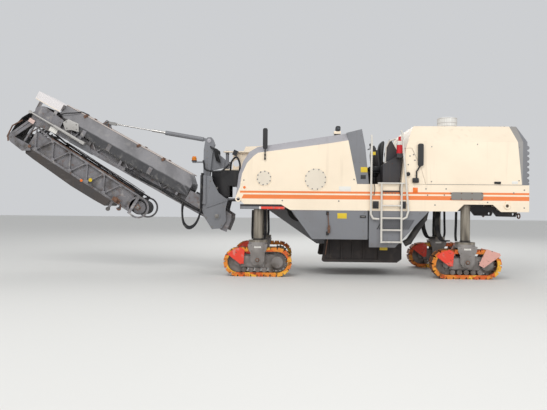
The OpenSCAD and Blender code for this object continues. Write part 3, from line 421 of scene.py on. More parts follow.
def yoke_enamel(name, centre_s, rear_plate):
    """Grey enamel of a yoke, with red guard plates beside its cheeks; the rear ones' colour may differ."""
    f = Finish(name, "#8F8A87", 0.5)
    f.paint("#A8A39D", f.patches(120, 0.5, 0.7, 4), 0.6)
    weather(f, "#5E4E40", 1.0, rust=0.7, low_z=0.62)
    # the plates' faces beside the track's middle plane, and where the plates begin along it
    near, far, begin = 0.1415, 0.1525, 0.212
    beside = f.off(f.off(f.place["Y"]), TRACK_Y * MM)
    in_plate = f.between(beside, near, far, 0.0004)
    along = f.add("ShaderNodeMath", {0: f.place["X"], 1: at(centre_s, 0, 0).x}, operation="SUBTRACT")
    away = f.add("ShaderNodeMapRange", {"Value": f.off(along), "From Min": begin, "From Max": begin + 0.004})
    mask = f.both(in_plate, away)
    f.paint("#E8432F", mask)
    f.paint("#C8A79B", f.both(mask, f.both(f.patches(70, 0.56, 0.72, 6), 0.45)))
    behind = f.add("ShaderNodeMapRange", {"Value": along, "From Min": -0.05, "From Max": -0.06})
    f.paint(rear_plate, f.both(mask, behind))
    f.paint("#6A4A3C", f.both(mask, f.patches(30, 0.62, 0.7, 6)))
    f.bump(f.cloud(6, 4), 0.3, 0.4)
    return f


def yoke_front():
    """Front yokes: guard plates in red enamel, scratched."""
    return yoke_enamel("front yoke enamel", 0, "#E8432F")


def yoke_rear():
    """Rear yokes: the same in front, and a plate worn to a dull pink behind."""
    return yoke_enamel("rear yoke enamel", WHEELBASE, "#DDA79A")


def worn_steel():
    """Cast and machined steel worn by asphalt: dark brown with bright rubbed spots."""
    f = Finish("worn cast steel", "#5B4B40", 0.62, 0.35)
    f.paint("#8C7F75", f.patches(45, 0.55, 0.68), 0.7)
    f.paint("#6B3B22", f.patches(80, 0.6, 0.72, 6))
    f.bump(f.cloud(8, 5), 1.2, 0.5)
    return f


def leg_steel():
    """Guide columns: ground steel with old grease and dust in upright streaks."""
    f = Finish("greased column steel", "#978F82", 0.5, 0.2)
    f.paint("#4B433A", f.patches(60, 0.42, 0.66, 5, (1, 1, 0.15)), 0.85)
    f.paint("#A79F92", f.patches(40, 0.58, 0.7, 4, (1, 1, 0.1)), 0.6)
    f.bump(f.cloud(9, 4), 0.3, 0.4)
    return f


def chrome_rod():
    """Hard chromed rod with an oil film and dust."""
    f = Finish("chromed rod", "#B9B6B2", 0.22, 1.0)
    f.paint("#6A5F55", f.patches(40, 0.52, 0.7, 4), 0.5)
    return f


def plated_steel():
    """Zinc plated bolts and brackets, dulled."""
    f = Finish("zinc plated steel", "#8F8C88", 0.45, 0.7)
    f.paint("#5A4A3E", f.patches(20, 0.5, 0.7, 4), 0.6)
    return f


def rusty_iron():
    """Cast and cut iron with its scale gone to brown rust, oily at places."""
    f = Finish("rusty iron", "#7B5B49", 0.82, 0.1)
    f.paint("#4A352B", f.patches(34, 0.45, 0.65, 6), 0.8)
    f.paint("#A98D7C", f.patches(22, 0.6, 0.72), 0.6)
    f.bump(f.cloud(5, 5), 0.5, 0.6)
    return f


def pad_rubber():
    """Polyurethane pads on steel shoes: yellow-orange, scuffed dark and mixed in tone from pad to pad."""
    f = Finish("polyurethane pads", "#E0862A", 0.55)
    cells = f.add("ShaderNodeTexVoronoi", {"Vector": f.here, "Scale": 7.5}, "Color", feature="F1")
    tone = f.add("ShaderNodeSeparateXYZ", {"Vector": cells}, "X")
    f.paint("#D2531C", f.add("ShaderNodeMapRange", {"Value": tone, "From Min": 0.55, "From Max": 0.75}), 0.8)
    f.paint("#F0B83A", f.add("ShaderNodeMapRange", {"Value": tone, "From Min": 0.35, "From Max": 0.15}), 0.8)
    # all but the pads' ends is dark: the chain inside the loop and the middle of the tread
    dark = 0.1
    beside = f.off(f.off(f.place["Y"]), TRACK_Y * MM)
    within = f.add("ShaderNodeMapRange", {"Value": beside, "From Min": dark + 0.004, "From Max": dark})
    f.paint("#3A2A22", within, 0.8)
    f.paint("#3B2A1E", f.patches(38, 0.52, 0.66, 6), 0.75)
    f.rough(0.8, f.patches(38, 0.5, 0.64, 6))
    f.bump(f.cloud(14, 5), 2.0, 0.5)
    return f


def belt_rubber():
    """Conveyor belt rubber: black, dusty and dull."""
    f = Finish("belt rubber", "#26262A", 0.78)
    f.paint("#5A544E", f.patches(200, 0.4, 0.7, 6), 0.5)
    f.bump(f.cloud(12, 4), 0.8, 0.4)
    return f


def hose_rubber():
    """Rubber hose cover, dusty black."""
    f = Finish("hose rubber", "#1C1C1F", 0.6)
    f.paint("#5B5752", f.patches(60, 0.5, 0.7, 4), 0.5)
    return f


def duct_plastic():
    """Ribbed duct of dark plastic over a wire helix."""
    f = Finish("duct plastic", "#3A3938", 0.6)
    f.paint("#6A6560", f.patches(90, 0.45, 0.7, 4), 0.6)
    return f


def pale_tube():
    """Plastic tube along the cover's edge, bleached."""
    f = Finish("bleached tube", "#C9BDB5", 0.55)
    weather(f, "#6E6258", 0.7, streaks=False)
    return f


def coated_cloth():
    """PVC coated polyester tarpaulin: a fine scrim under a dull coat, dusty, with painted shade on its
    near-upright walls.
    """
    f = Finish("coated cloth", "#868486", 0.6, Sheen_Weight=0.15)
    # Painted shade: faces that turn from the sky, the cloth's walls, are darkened almost to black to stand in
    # for the shade they lie in
    painted_wall_shade = f.add("ShaderNodeMapRange", {"Value": f.normal["Z"], "From Min": 0.35, "From Max": 0.05})
    f.paint("#2F2F32", painted_wall_shade, 0.9)
    f.paint("#4C4B4C", f.patches(260, 0.45, 0.7, 5, (1, 1, 0.4)), 0.6)
    f.paint("#9A9692", f.patches(90, 0.55, 0.72, 6), 0.35)
    f.bump(f.cloud(6, 2), 0.3, 0.35)
    f.bump(f.cloud(150, 4, distortion=0.8), 12.0, 0.6)
    return f


def rope_fibre():
    """Laid polypropylene cord, grey with dirt."""
    f = Finish("polypropylene cord", "#5B5957", 0.85)
    f.bump(f.cloud(3, 2, (6, 1, 1)), 0.4, 0.6)
    return f


def seat_vinyl():
    """Grained black vinyl of the seats."""
    f = Finish("seat vinyl", "#1F1F21", 0.45)
    f.bump(f.cloud(4, 3), 0.3, 0.5)
    return f


def moulded_black():
    """Moulded ABS of mirrors, lamps and console controls."""
    f = Finish("moulded plastic", "#232325", 0.5)
    weather(f, "#6B6660", 0.4, streaks=False)
    f.bump(f.cloud(3, 3), 0.15, 0.4)
    return f


def amber_lens():
    """Amber polycarbonate dome with a prismatic inside."""
    f = Finish("amber lens", "#EE8A1D", 0.18, Transmission_Weight=0.25)
    f.bump(f.cloud(8, 1, (0.2, 0.2, 6)), 1.0, 0.6)
    return f


def reflector_plastic():
    """Orange acrylic reflectors with a prism pattern at the back."""
    f = Finish("reflector acrylic", "#F0741C", 0.2, Coat_Weight=0.4)
    f.bump(f.add("ShaderNodeTexVoronoi", {"Vector": f.here, "Scale": 180}, "Distance"), 0.4, 0.6)
    return f


def label_film():
    """Blank printed film, white and dusty."""
    f = Finish("white film", "#E9E6DF", 0.42)
    weather(f, "#A08F78", 0.4, streaks=False)
    return f


def yellow_film():
    """Blank warning film in yellow, faded."""
    f = Finish("yellow film", "#DDBE2B", 0.42)
    weather(f, "#8A744E", 0.5, streaks=False)
    return f


def clear_glass():
    """Pressed glass of a lens, dark behind."""
    return Finish("lens glass", "#3A4046", 0.06, Coat_Weight=1.0)


def mirror_glass():
    """Silvered mirror glass."""
    return Finish("mirror glass", "#C9CED2", 0.04, 1.0)


MAKERS = {f.__name__: f for f in (
    cream_enamel, striped_enamel, hood_enamel, cover_enamel, grey_enamel, pale_enamel, dark_enamel,
    rail_enamel, light_enamel, cylinder_enamel, head_box_enamel, truss_steel, belly_plate, belly_enamel,
    black_steel, red_enamel, guard_red, pink_plate, ochre_enamel, yoke_front, yoke_rear, worn_steel,
    leg_steel, chrome_rod, plated_steel, rusty_iron, pad_rubber, belt_rubber, hose_rubber, duct_plastic,
    pale_tube, coated_cloth, rope_fibre, seat_vinyl, moulded_black, amber_lens, reflector_plastic,
    label_film, yellow_film, clear_glass, mirror_glass,
)}
FINISHES = {}


def finish_of(name):
    """Each finish is made once, by the function of its name."""
    if name not in FINISHES:
        FINISHES[name] = MAKERS[name]().material
    return FINISHES[name]


NODE_FINISH = {
    "front_body": "striped_enamel", "rear_body": "striped_enamel", "engine_hood": "hood_enamel",
    "rails_ladders": "rail_enamel", "inner_head_cover": "head_box_enamel", "top_cover": "pale_enamel",
    "rear_grille": "grey_enamel", "bulkhead": "grey_enamel", "drum_housing": "grey_enamel",
    "slew_console": "grey_enamel", "collecting_conveyor": "grey_enamel", "chassis_frame": "dark_enamel",
    "slew_bearing": "dark_enamel", "platform": "dark_enamel", "engine": "dark_enamel",
    "consoles": "dark_enamel", "scraper_blade": "dark_enamel", "side_plate_left": "belly_enamel",
    "side_plate_right": "belly_enamel", "lift_cylinder": "grey_enamel", "fold_cylinders": "cylinder_enamel",
    "inner_frame": "truss_steel", "outer_frame": "truss_steel", "outer_cover": "belly_plate",
    "inner_cover": "coated_cloth", "milling_drum": "worn_steel", "lift_rod": "chrome_rod",
    "collecting_belt": "belt_rubber", "inner_belt": "belt_rubber", "outer_belt": "belt_rubber",
    "belt_loop": "belt_rubber", "suction_duct": "duct_plastic", "transfer_hood": "black_steel",
    "lamps_mirrors": "moulded_black", "seats": "seat_vinyl", "fire_extinguisher": "red_enamel",
    "beacon": "amber_lens",
}
for name, node in nodes.items():
    if name.startswith("track_"):
        kind = "pad_rubber"
    elif name.startswith("leg_"):
        kind = "leg_steel"
    elif name.startswith("yoke_"):
        kind = "yoke_front" if "front" in name else "yoke_rear"
    else:
        kind = NODE_FINISH[name]
    node.data.materials.clear()
    node.data.materials.append(finish_of(kind))


# Small shapes: each adds to a bmesh, from places in the frame and sizes in millimetres


def rounded(bm, verts, bevel):
    """The edges between these vertices are rounded."""
    if bevel:
        edges = list({e for v in verts for e in v.link_edges})
        bmesh.ops.bevel(bm, geom=edges, offset=bevel * MM, segments=2, affect="EDGES", profile=0.5,
                        material=-1)


def block(bm, s0, s1, y0, y1, z0, z1, bevel=2.0):
    """A box with rounded edges."""
    place = Matrix.Translation((at(s0, y0, z0) + at(s1, y1, z1)) / 2)
    size = Matrix.Diagonal((abs(s1 - s0) * MM, abs(y1 - y0) * MM, abs(z1 - z0) * MM, 1))
    made = bmesh.ops.create_cube(bm, size=1, matrix=place @ size)
    rounded(bm, made["verts"], bevel)


def facing(place, along):
    """A matrix at place whose Z axis points along."""
    return Matrix.Translation(place) @ Vector(along).to_track_quat("Z", "Y").to_matrix().to_4x4()


def can(bm, place, along, radius, height, sides=24, top=None, bevel=0.0):
    """A round or many-sided body standing on place; top is its upper radius."""
    along = Vector(along).normalized()
    made = bmesh.ops.create_cone(bm, cap_ends=True, segments=sides, radius1=radius * MM,
                                 radius2=(radius if top is None else top) * MM, depth=height * MM,
                                 matrix=facing(place + along * height * MM / 2, along))
    rounded(bm, made["verts"], bevel)


def rod(bm, start, end, radius, sides=10):
    """A round bar between two points."""
    line = end - start
    can(bm, start, line, radius, line.length / MM, sides)


def ball(bm, place, radius, squash=(1, 1, 1)):
    """A ball, drawn out or flattened along the axes."""
    bmesh.ops.create_uvsphere(bm, u_segments=18, v_segments=12, radius=radius * MM,
                              matrix=Matrix.Translation(place) @ Matrix.Diagonal((*squash, 1)))


def ring(bm, place, along, radius, wire, sides=24):
    """A closed ring of round wire."""
    turn = facing(place, along)
    side = turn @ Vector((radius * MM, 0, 0))
    made = bmesh.ops.create_circle(bm, segments=8, radius=wire * MM,
                                   matrix=facing(side, turn.to_3x3() @ Vector((0, 1, 0))))
    edges = list({e for v in made["verts"] for e in v.link_edges})
    bmesh.ops.spin(bm, geom=edges, cent=place, axis=turn.to_3x3() @ Vector((0, 0, 1)), angle=math.tau,
                   steps=sides, use_merge=True)


def plate(bm, corners, y0, y1, bevel=1.0, to_frame=at):
    """A flat plate from (s, z) corners between two sides, or (u, v) ones where inner or outer is named."""
    face = bm.faces.new([bm.verts.new(to_frame(a, y0, b)) for a, b in corners])
    made = bmesh.ops.extrude_face_region(bm, geom=[face])
    moved = [v for v in made["geom"] if isinstance(v, bmesh.types.BMVert)]
    bmesh.ops.translate(bm, vec=(0, (y1 - y0) * MM, 0), verts=moved)
    rounded(bm, list(face.verts) + moved, bevel)


def block_inner(bm, u0, u1, y0, y1, v0, v1, bevel=2.0):
    """A box lined up with the inner conveyor section."""
    plate(bm, [(u0, v0), (u1, v0), (u1, v1), (u0, v1)], y0, y1, bevel, inner)


def bolt(bm, place, along, radius=11, washer=True):
    """A hexagon head on its washer."""
    if washer:
        can(bm, place, along, radius * 1.5, 2.5, 16)
    can(bm, place, along, radius, radius * 0.9, 6, top=radius * 0.92)


def bolt_circle(bm, centre, out, circle, count, radius, start=0.0, to_frame=at):
    """Bolts on a circle seen from the side, round (s, y, z), or (u, y, v) where inner or outer is named."""
    s, y, z = centre
    for i in range(count):
        a = math.tau * i / count + start
        bolt(bm, to_frame(s + circle * math.cos(a), y, z + circle * math.sin(a)), out, radius)


def bent_bar(bm, points, radius, bend, sides=10):
    """A round bar through points, with a ball of radius bend where it turns."""
    for start, end in zip(points, points[1:]):
        rod(bm, start, end, radius, sides)
    for point in points[1:-1]:
        ball(bm, point, bend)


def piece(name, bm, finish, body, sharp=35):
    """A finished mesh with its material, riding on a CAD body."""
    bmesh.ops.remove_doubles(bm, verts=bm.verts, dist=1e-6)
    bmesh.ops.recalc_face_normals(bm, faces=bm.faces)
    mesh = bpy.data.meshes.new(name)
    bm.to_mesh(mesh)
    bm.free()
    mesh.shade_smooth()
    mesh.set_sharp_from_angle(angle=math.radians(sharp))
    return shown(name, mesh, finish, body)


def shown(name, data, finish, body):
    """An object with its finish. Where a body is named, it rides on it."""
    made = bpy.data.objects.new(name, data)
    made.data.materials.append(finish_of(finish))
    bpy.context.scene.collection.objects.link(made)
    if body:
        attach(made, body)
    return made


def tube(name, runs, radius):
    """Round tubes of one thickness as a curve, each run smooth through its points by Catmull-Rom's rule."""
    curve = bpy.data.curves.new(name, "CURVE")
    curve.dimensions = "3D"
    curve.bevel_depth = radius * MM
    curve.bevel_resolution = 3
    curve.use_fill_caps = True
    steps = 8
    for points in runs:
        fine = []
        last = len(points) - 1
        for i in range(last):
            a, b, c, d = points[max(i - 1, 0)], points[i], points[i + 1], points[min(i + 2, last)]
            for k in range(steps):
                t = k / steps
                fine.append(0.5 * (2 * b + (c - a) * t + (2 * a - 5 * b + 4 * c - d) * t * t
                                   + (3 * b - a - 3 * c + d) * t ** 3))
        fine.append(points[-1])
        spline = curve.splines.new("POLY")
        spline.points.add(len(fine) - 1)
        for p, q in zip(spline.points, fine):
            p.co = (*q, 1)
    return curve


def hose(name, points, radius, body):
    """A free hose through points."""
    curve = tube(name, [points], radius)
    made = shown(name, curve, "hose_rubber", body)


def pipes(name, runs, radius, finish, body):
    """Fixed pipes, bars or ropes of one thickness, as one piece."""
    return shown(name, tube(name, runs, radius), finish, body)


def as_mesh(curve):
    """The same tube as a mesh."""
    name, finish = curve.name, curve.data.materials[0]
    mesh = bpy.data.meshes.new_from_object(curve)
    bpy.data.objects.remove(curve)
    mesh.materials.clear()
    mesh.materials.append(finish)
    mesh.name = name
    made = bpy.data.objects.new(name, mesh)
    bpy.context.scene.collection.objects.link(made)
    return made


# Fittings


def body_fittings():
    """Bolts, covers' rims and faces, latches, labels, handles, lamps and reflectors on the body's sides."""
    steel, blank, dark, orange, rims, faces = (bmesh.new() for _ in range(6))
    for side in (1, -1):
        out = (0, side, 0)
        y = side * BODY_HW
        # round covers with their ring of bolts
        for s, z, r, count in ((111, 1914, 150, 10), (1108, 1898, 215, 12)):
            bolt_circle(steel, (s, y + side * 8, z), out, r - 20, count, 9, 0.2)
            ring(rims, at(s, y + side * 8, z), out, r - 5, 3, 48)
            can(faces, at(s, y + side * 8, z), out, r - 3, 1.5, 64)
        # loose bolts on the panels
        for s, z in ((-279, 1870), (3227, 1729), (3610, 1732), (3259, 1610), (3577, 1613), (2917, 2359),
                     (2886, 2193), (2985, 2386), (3011, 2277), (470, 1480), (1560, 1480), (3400, 1420),
                     (4400, 1480), (5090, 1720), (5090, 1380), (1850, 2250), (1850, 1900)):
            bolt(steel, at(s, y, z), out, 9)
        can(orange, at(-267, y, 1730), out, 26, 9, 24, top=22)
        can(steel, at(4890, y, 1665), out, 13, 6, 20)
        block(orange, 2977, 3070, y, y + side * 12, 1651, 1752, 6)
        # latch of the hood
        block(dark, 4521, 4645, y, y + side * 14, 1834, 1878, 5)
        rod(dark, at(4543, y + side * 22, 1864), at(4631, y + side * 30, 1842), 8)
        # blank plates and stickers
        block(blank, 1562, 1793, y, y + side * 1.2, 1669, 1763, 0.4)
        block(blank, 4856, 4968, y, y + side * 1.2, 1836, 1890, 0.4)
        # lip along the seam between the body and the hood
        block(steel, 3240, 5050, y - side * 4, y + side * 5, DECK_Z - 4, DECK_Z + 3, 1)
        # grab handle and lamp behind the platform
        block(dark, 2960, 3080, y + side * 14, y + side * 62, 1842, 1934, 12)
        rod(dark, at(3020, y, 1890), at(3020, y + side * 20, 1890), 14)
        can(dark, at(2880, y + side * 26, 2010), (0, side, -0.2), 42, 22, 24, top=36, bevel=4)
        rod(dark, at(2880, y, 1990), at(2880, y + side * 34, 2005), 9)
    piece("body_bolts", steel, "plated_steel", "chassis")
    piece("cover_rims", rims, "cream_enamel", "chassis")
    piece("cover_faces", faces, "cover_enamel", "chassis")
    piece("blank_labels", blank, "label_film", "chassis")
    piece("side_lamps", dark, "moulded_black", "chassis")
    piece("reflectors", orange, "reflector_plastic", "chassis")


def hood_fittings():
    """Bolts, lifting rings and a hook on the tilting hood, and the mesh round the intake cap."""
    bm = bmesh.new()
    for side in (1, -1):
        for s, z in ((3330, 1870), (3330, 2540), (4990, 2540), (4990, 1900), (4200, 2590)):
            bolt(bm, at(s, side * BODY_HW, z), (0, side, 0), 8)
        for i in range(9):
            bolt(bm, at(3230 + i * 220, side * (ROOF_HW - 22), HOOD_Z), (0, 0, 1), 8)
    for side in (1, -1):
        ring(bm, at(4240, side * 300, HOOD_Z + 34), (0.2, 1, 0), 34, 8)
    rod(bm, at(4990, 430, HOOD_Z - 4), at(4990, 430, HOOD_Z + 70), 9)
    rod(bm, at(4990, 430, HOOD_Z + 66), at(5035, 430, HOOD_Z + 40), 9)
    piece("hood_hardware", bm, "plated_steel", "hood")
    bm = bmesh.new()
    wires, wires_r, bands_r = 36, 196.5, 197
    for i in range(wires):
        a = math.tau * i / wires
        p = Vector((math.cos(a), math.sin(a), 0)) * wires_r * MM
        rod(bm, at(CAP_S, CAP_Y, HOOD_Z + 62) + p, at(CAP_S, CAP_Y, CAP_TOP) + p, 2, 5)
    for z in (HOOD_Z + 64, 3120, CAP_TOP - 2):
        ring(bm, at(CAP_S, CAP_Y, z), (0, 0, 1), bands_r, 4, 48)
    piece("cap_mesh", bm, "light_enamel", "hood")


def skirt_fittings():
    """Louvres, blank stickers, locks, bolts and hinges on the skirts beside the drum."""
    vents, steel, yellow, dark = (bmesh.new() for _ in range(4))
    for side in (1, -1):
        y = side * (BODY_HW - 5)
        out = (0, side, 0)
        for i in range(15):
            s = 2290 + i * 42
            slot = [(s, 945), (s + 20, 945), (s + 130, 1130), (s + 110, 1130)]
            plate(vents, slot, y - side * 2, y + side * 3, 0.6)
        block(yellow, 1536, 1716, y, y + side * 1.5, 1143, 1247, 0.5)
        block(dark, 1971, 2086, y, y + side * 14, 1160, 1206, 6)
        block(steel, 1990, 2068, y + side * 12, y + side * 20, 1174, 1190, 3)
        for s, z in ((2035, 1085), (2037, 907), (1330, 1255), (1330, 800), (700, 1250), (2060, 1255),
                     (2060, 800), (2200, 1255), (2200, 660), (2600, 660), (3120, 1255)):
            bolt(steel, at(s, y, z), out, 8)
        # hinges along the front hatch's edge
        for z in (1210, 820):
            can(dark, at(1345, y + side * 14, z), (0, 0, 1), 12, 70, 12)
            block(dark, 1320, 1372, y, y + side * 8, z, z + 70, 2)
    piece("hatch_vents", vents, "black_steel", "chassis")
    piece("skirt_bolts", steel, "plated_steel", "chassis")
    piece("skirt_stickers", yellow, "yellow_film", "chassis")
    piece("skirt_locks", dark, "moulded_black", "chassis")


def side_plate_fittings():
    """Guide rod with its rusty bracket, and a blank plate, on each sliding side plate."""
    for side, name in ((1, "left"), (-1, "right")):
        bm = bmesh.new()
        y = side * (DRUM_HW + 118)
        rod(bm, at(1351, side * (BODY_HW + 16), 1250), at(1375, side * (BODY_HW + 16), 930), 9)
        rod(bm, at(1375, side * (BODY_HW + 16), 930), at(1331, y, 420), 9)
        block(bm, 1352, 1396, side * (BODY_HW + 2), side * (BODY_HW + 40), 860, 1010, 6)
        can(bm, at(1372, side * (BODY_HW + 6), 955), (0, side, 0), 30, 40, 16, bevel=3)
        piece("guide_rod_" + name, bm, "rusty_iron", "side_plate_" + name)
        bm = bmesh.new()
        y = side * (DRUM_HW + 139)
        block(bm, 2400, 2553, y, y + side * 1.5, 520, 600, 0.5)
        piece("plate_label_" + name, bm, "yellow_film", "side_plate_" + name)


def platform_fittings():
    """Levers and switches on the consoles, labels and dark plates beside them, and a red cap."""
    dark, red, yellow = (bmesh.new() for _ in range(3))
    for side in (1, -1):
        y = side * (BODY_HW - 300)
        # joystick and switches on the console's sloping top
        for s, z, tall in ((2190, 2500, 90), (2260, 2488, 60)):
            rod(dark, at(s, y, z), at(s + 8, y, z + tall), 8)
            ball(dark, at(s + 8, y, z + tall + 14), 21, (1, 1, 1.3))
        for i in range(5):
            can(dark, at(2160, y - side * (60 - i * 30), 2505), (0, 0, 1), 8, 16, 12, bevel=2)
        block(yellow, 2179, 2279, side * (BODY_HW - 128), side * (BODY_HW - 126), 2385, 2449, 0.5)
        block(yellow, 1976, 2105, side * BODY_HW, side * (BODY_HW + 1.2), 2038, 2139, 0.4)
        corners = [(1977, 1912), (2074, 1912), (2074, 1987), (1977, 1987)]
        plate(dark, corners, side * BODY_HW, side * (BODY_HW + 4), 1)
    can(red, at(2700, 905, 2260), (0, 0, 1), 34, 44, 24, top=26, bevel=5)
    piece("console_controls", dark, "moulded_black", "chassis")
    piece("platform_labels", yellow, "yellow_film", "chassis")
    piece("red_cap", red, "red_enamel", "chassis")


def ladder_fittings():
    """Hinges, bolts and cables of the folded upper step."""
    dark, steel = bmesh.new(), bmesh.new()
    runs = []
    for side in (1, -1):
        y = side * (BODY_HW + 6)
        for s in (2212, 2730):
            block(dark, s, s + 110, y, y + side * 26, 1342, 1484, 6)
            rod(dark, at(s + 55, y + side * 10, 1413), at(s + 55, y + side * 38, 1413), 17)
        for s in (2232, 2735):
            runs.append([at(s, y + side * 6, 1830), at(s + (14 if s < 2500 else -14), y + side * 24, 1730),
                         at(s, y + side * 8, 1600)])
        for s in range(2400, 2700, 60):
            bolt(steel, at(s, y, 1640), (0, side, 0), 7)
    piece("ladder_hinges", dark, "black_steel", "chassis")
    piece("step_bolts", steel, "plated_steel", "chassis")
    pipes("step_cables", runs, 7, "hose_rubber", "chassis")


def front_fittings():
    """Coloured level bars under the nose, with their bolts."""
    grey, red, white, steel = (bmesh.new() for _ in range(4))
    for side in (1, -1):
        y = side * 1176
        block(grey, -344, 22, y, y + side * 20, 1313, 1361, 5)
        block(white, 20, 58, y, y + side * 22, 1311, 1363, 4)
        block(red, 56, 520, y, y + side * 20, 1313, 1361, 5)
        for s in (-330, 300, 505):
            bolt(steel, at(s, y + side * 20, 1337), (0, side, 0), 9)
    piece("level_bar_front", grey, "grey_enamel", "chassis")
    piece("level_bar_mark", white, "label_film", "chassis")
    piece("level_bar_rear", red, "guard_red", "chassis")
    piece("level_bar_brackets", steel, "plated_steel", "chassis")


def soft_seats():
    """Two seats with rounded foam cushions in vinyl, each on its base."""
    for side, name in ((1, "left"), (-1, "right")):
        bm = bmesh.new()
        y0, y1 = side * (BODY_HW - 778), side * (BODY_HW - 502)
        middle = (y0 + y1) / 2
        block(bm, 2182, 2474, y0, y1, 2078, 2172, 34)
        back = [(2438, 2150), (2402, 2540), (2424, 2650), (2470, 2712), (2516, 2700), (2498, 2500),
                (2480, 2150)]
        plate(bm, back, y0, y1, 26)
        for edge in (y0 + side * 22, y1 - side * 22):
            rod(bm, at(2200, edge, 2166), at(2440, edge, 2170), 20, 14)
            rod(bm, at(2448, edge, 2190), at(2436, edge, 2560), 19, 14)
        piece("seat_cushions_" + name, bm, "seat_vinyl", "chassis", 50)
        bm = bmesh.new()
        block(bm, 2190, 2470, y0 + side * 10, y1 - side * 10, 2060, 2080, 4)
        can(bm, at(2330, middle, DECK_Z), (0, 0, 1), 60, 190, 24, bevel=3)
        can(bm, at(2330, middle, DECK_Z + 170), (0, 0, 1), 78, 72, 24, top=100, bevel=4)
        can(bm, at(2330, middle, DECK_Z), (0, 0, 1), 110, 14, 32, bevel=3)
        piece("seat_base_" + name, bm, "black_steel", "chassis")
    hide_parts("seats")


def tarpaulin():
    """The cloth over the inner section: walls, sloping shoulders and top, with creases, sag and wrinkles."""
    steps_wall, steps_slope, steps_top = 10, 10, 14
    outline = [("wall", i / steps_wall) for i in range(steps_wall)]
    outline += [("slope", i / steps_slope) for i in range(steps_slope)]
    outline += [("top", i / steps_top) for i in range(steps_top + 1)]
    # where it starts and ends, its lower edge and its highest line along the section
    first, last, edge_v = 760, 3965, 40
    low = [(first, 60), (904, edge_v), (2900, edge_v), (3792, 201), (last, 300)]
    high = [(first, 62), (780, 330), (950, 507), (last, 507)]
    # the walls' place and upper end, and how far the shoulders run in and up from there
    wall_y, wall_v = 416, 240
    shoulder_y, shoulder_v = 156, 268

    def along(line, u):
        """The line's height at u."""
        for (u0, v0), (u1, v1) in zip(line, line[1:]):
            if u0 <= u <= u1:
                return v0 + (v1 - v0) * (u - u0) / (u1 - u0)
        return line[-1][1]

    phases = [random.uniform(0, math.tau) for _ in range(9)]

    def wrinkle(u, v):
        """How far the cloth stands out at a place; only what stands in is used."""
        fan = math.atan2(v - 60, u - 700 + 1e-6)
        reach = max(0.0, 1 - (u - first) / 1100)
        w = 9 * reach * math.sin(15 * fan + 1.3 * math.sin(u / 210 + phases[0]))
        bend = 0.9 * math.sin(v / 90 + phases[1])
        w += 4.5 * math.sin(u / 118 + bend + phases[2]) * math.sin(v / 150 + phases[3])
        w += 2.2 * math.sin(u / 47 + v / 60 + phases[4]) * math.sin(u / 310 + phases[5])
        # the bows under the cloth keep the creases out
        for bow in (2300, 3300):
            w += 5 * math.exp(-((u - bow) / 55) ** 2)
        return w

    bm = bmesh.new()
    steps_long = 190
    us = [first + (last - first) * i / steps_long for i in range(steps_long + 1)]
    grid = []
    for u in us:
        v_low, v_high = along(low, u), along(high, u)
        row = []
        for mirrored in (1, -1):
            half_row = []
            for kind, t in outline:
                if kind == "wall":
                    y, v, out = wall_y, v_low + (wall_v - v_low) * t, (1, 0)
                elif kind == "slope":
                    y, v, out = wall_y - shoulder_y * t, wall_v + shoulder_v * t, (0.86, 0.5)
                else:
                    y, v, out = (wall_y - shoulder_y) * (1 - t), wall_v + shoulder_v, (0, 1)
                v = max(min(v, v_high), v_low)
                sag = 12 * (1 - abs(math.sin((u - 700) / 1000 * math.pi))) * t if kind == "top" else 0
                # creases die out at the edges, where the cloth is held
                hold = min(1.0, abs(v - v_low) / 60, (u - first + 2) / 60, (last + 1 - u) / 60)
                inward = min(wrinkle(u, v) * max(hold, 0.15), 0)
                half_row.append((u, mirrored * (y + inward * out[0]), v + (inward - sag) * out[1]))
            row += half_row if mirrored == 1 else half_row[-2::-1]
        grid.append([bm.verts.new(inner(*p)) for p in row])
    for a, b, u in zip(grid, grid[1:], us):
        for i in range(len(a) - 1):
            # gap in the top's middle, where the chains come through
            mid = abs(i + 0.5 - (len(a) - 1) / 2)
            if 2975 < u < 3225 and mid < 1:
                continue
            quad = [a[i], a[i + 1], b[i + 1], b[i]]
            if (quad[0].co - quad[1].co).length + (quad[2].co - quad[3].co).length > 0.0008:
                bm.faces.new(quad)
    bmesh.ops.remove_doubles(bm, verts=bm.verts, dist=0.0004)
    loose = [v for v in bm.verts if not v.link_faces]
    bmesh.ops.delete(bm, geom=loose, context="VERTS")
    area = sum(f.calc_area() for f in bm.faces)
    cloth = piece("tarpaulin", bm, "coated_cloth", "inner_conveyor", 80)
    thick = cloth.modifiers.new("thickness", "SOLIDIFY")
    thick.thickness = 0.002
    thick.offset = -1
    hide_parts("inner_cover")
    # hem with eyelets, and the rope through them
    eyelets, runs = bmesh.new(), []
    for side in (1, -1):
        for i in range(24):
            u = 960 + i * 128
            ring(eyelets, inner(u, side * 419, along(low, u) + 30), (0, side, 0), 13, 3, 14)
        us = [960 + i * 64 for i in range(47)]
        runs.append([inner(u, side * 423, along(low, u) + (-4 if i % 2 else 30)) for i, u in enumerate(us)])
    rings = piece("tarpaulin_eyelets", eyelets, "plated_steel", "inner_conveyor")
    rope = pipes("tarpaulin_rope", runs, 4, "rope_fibre", "inner_conveyor")


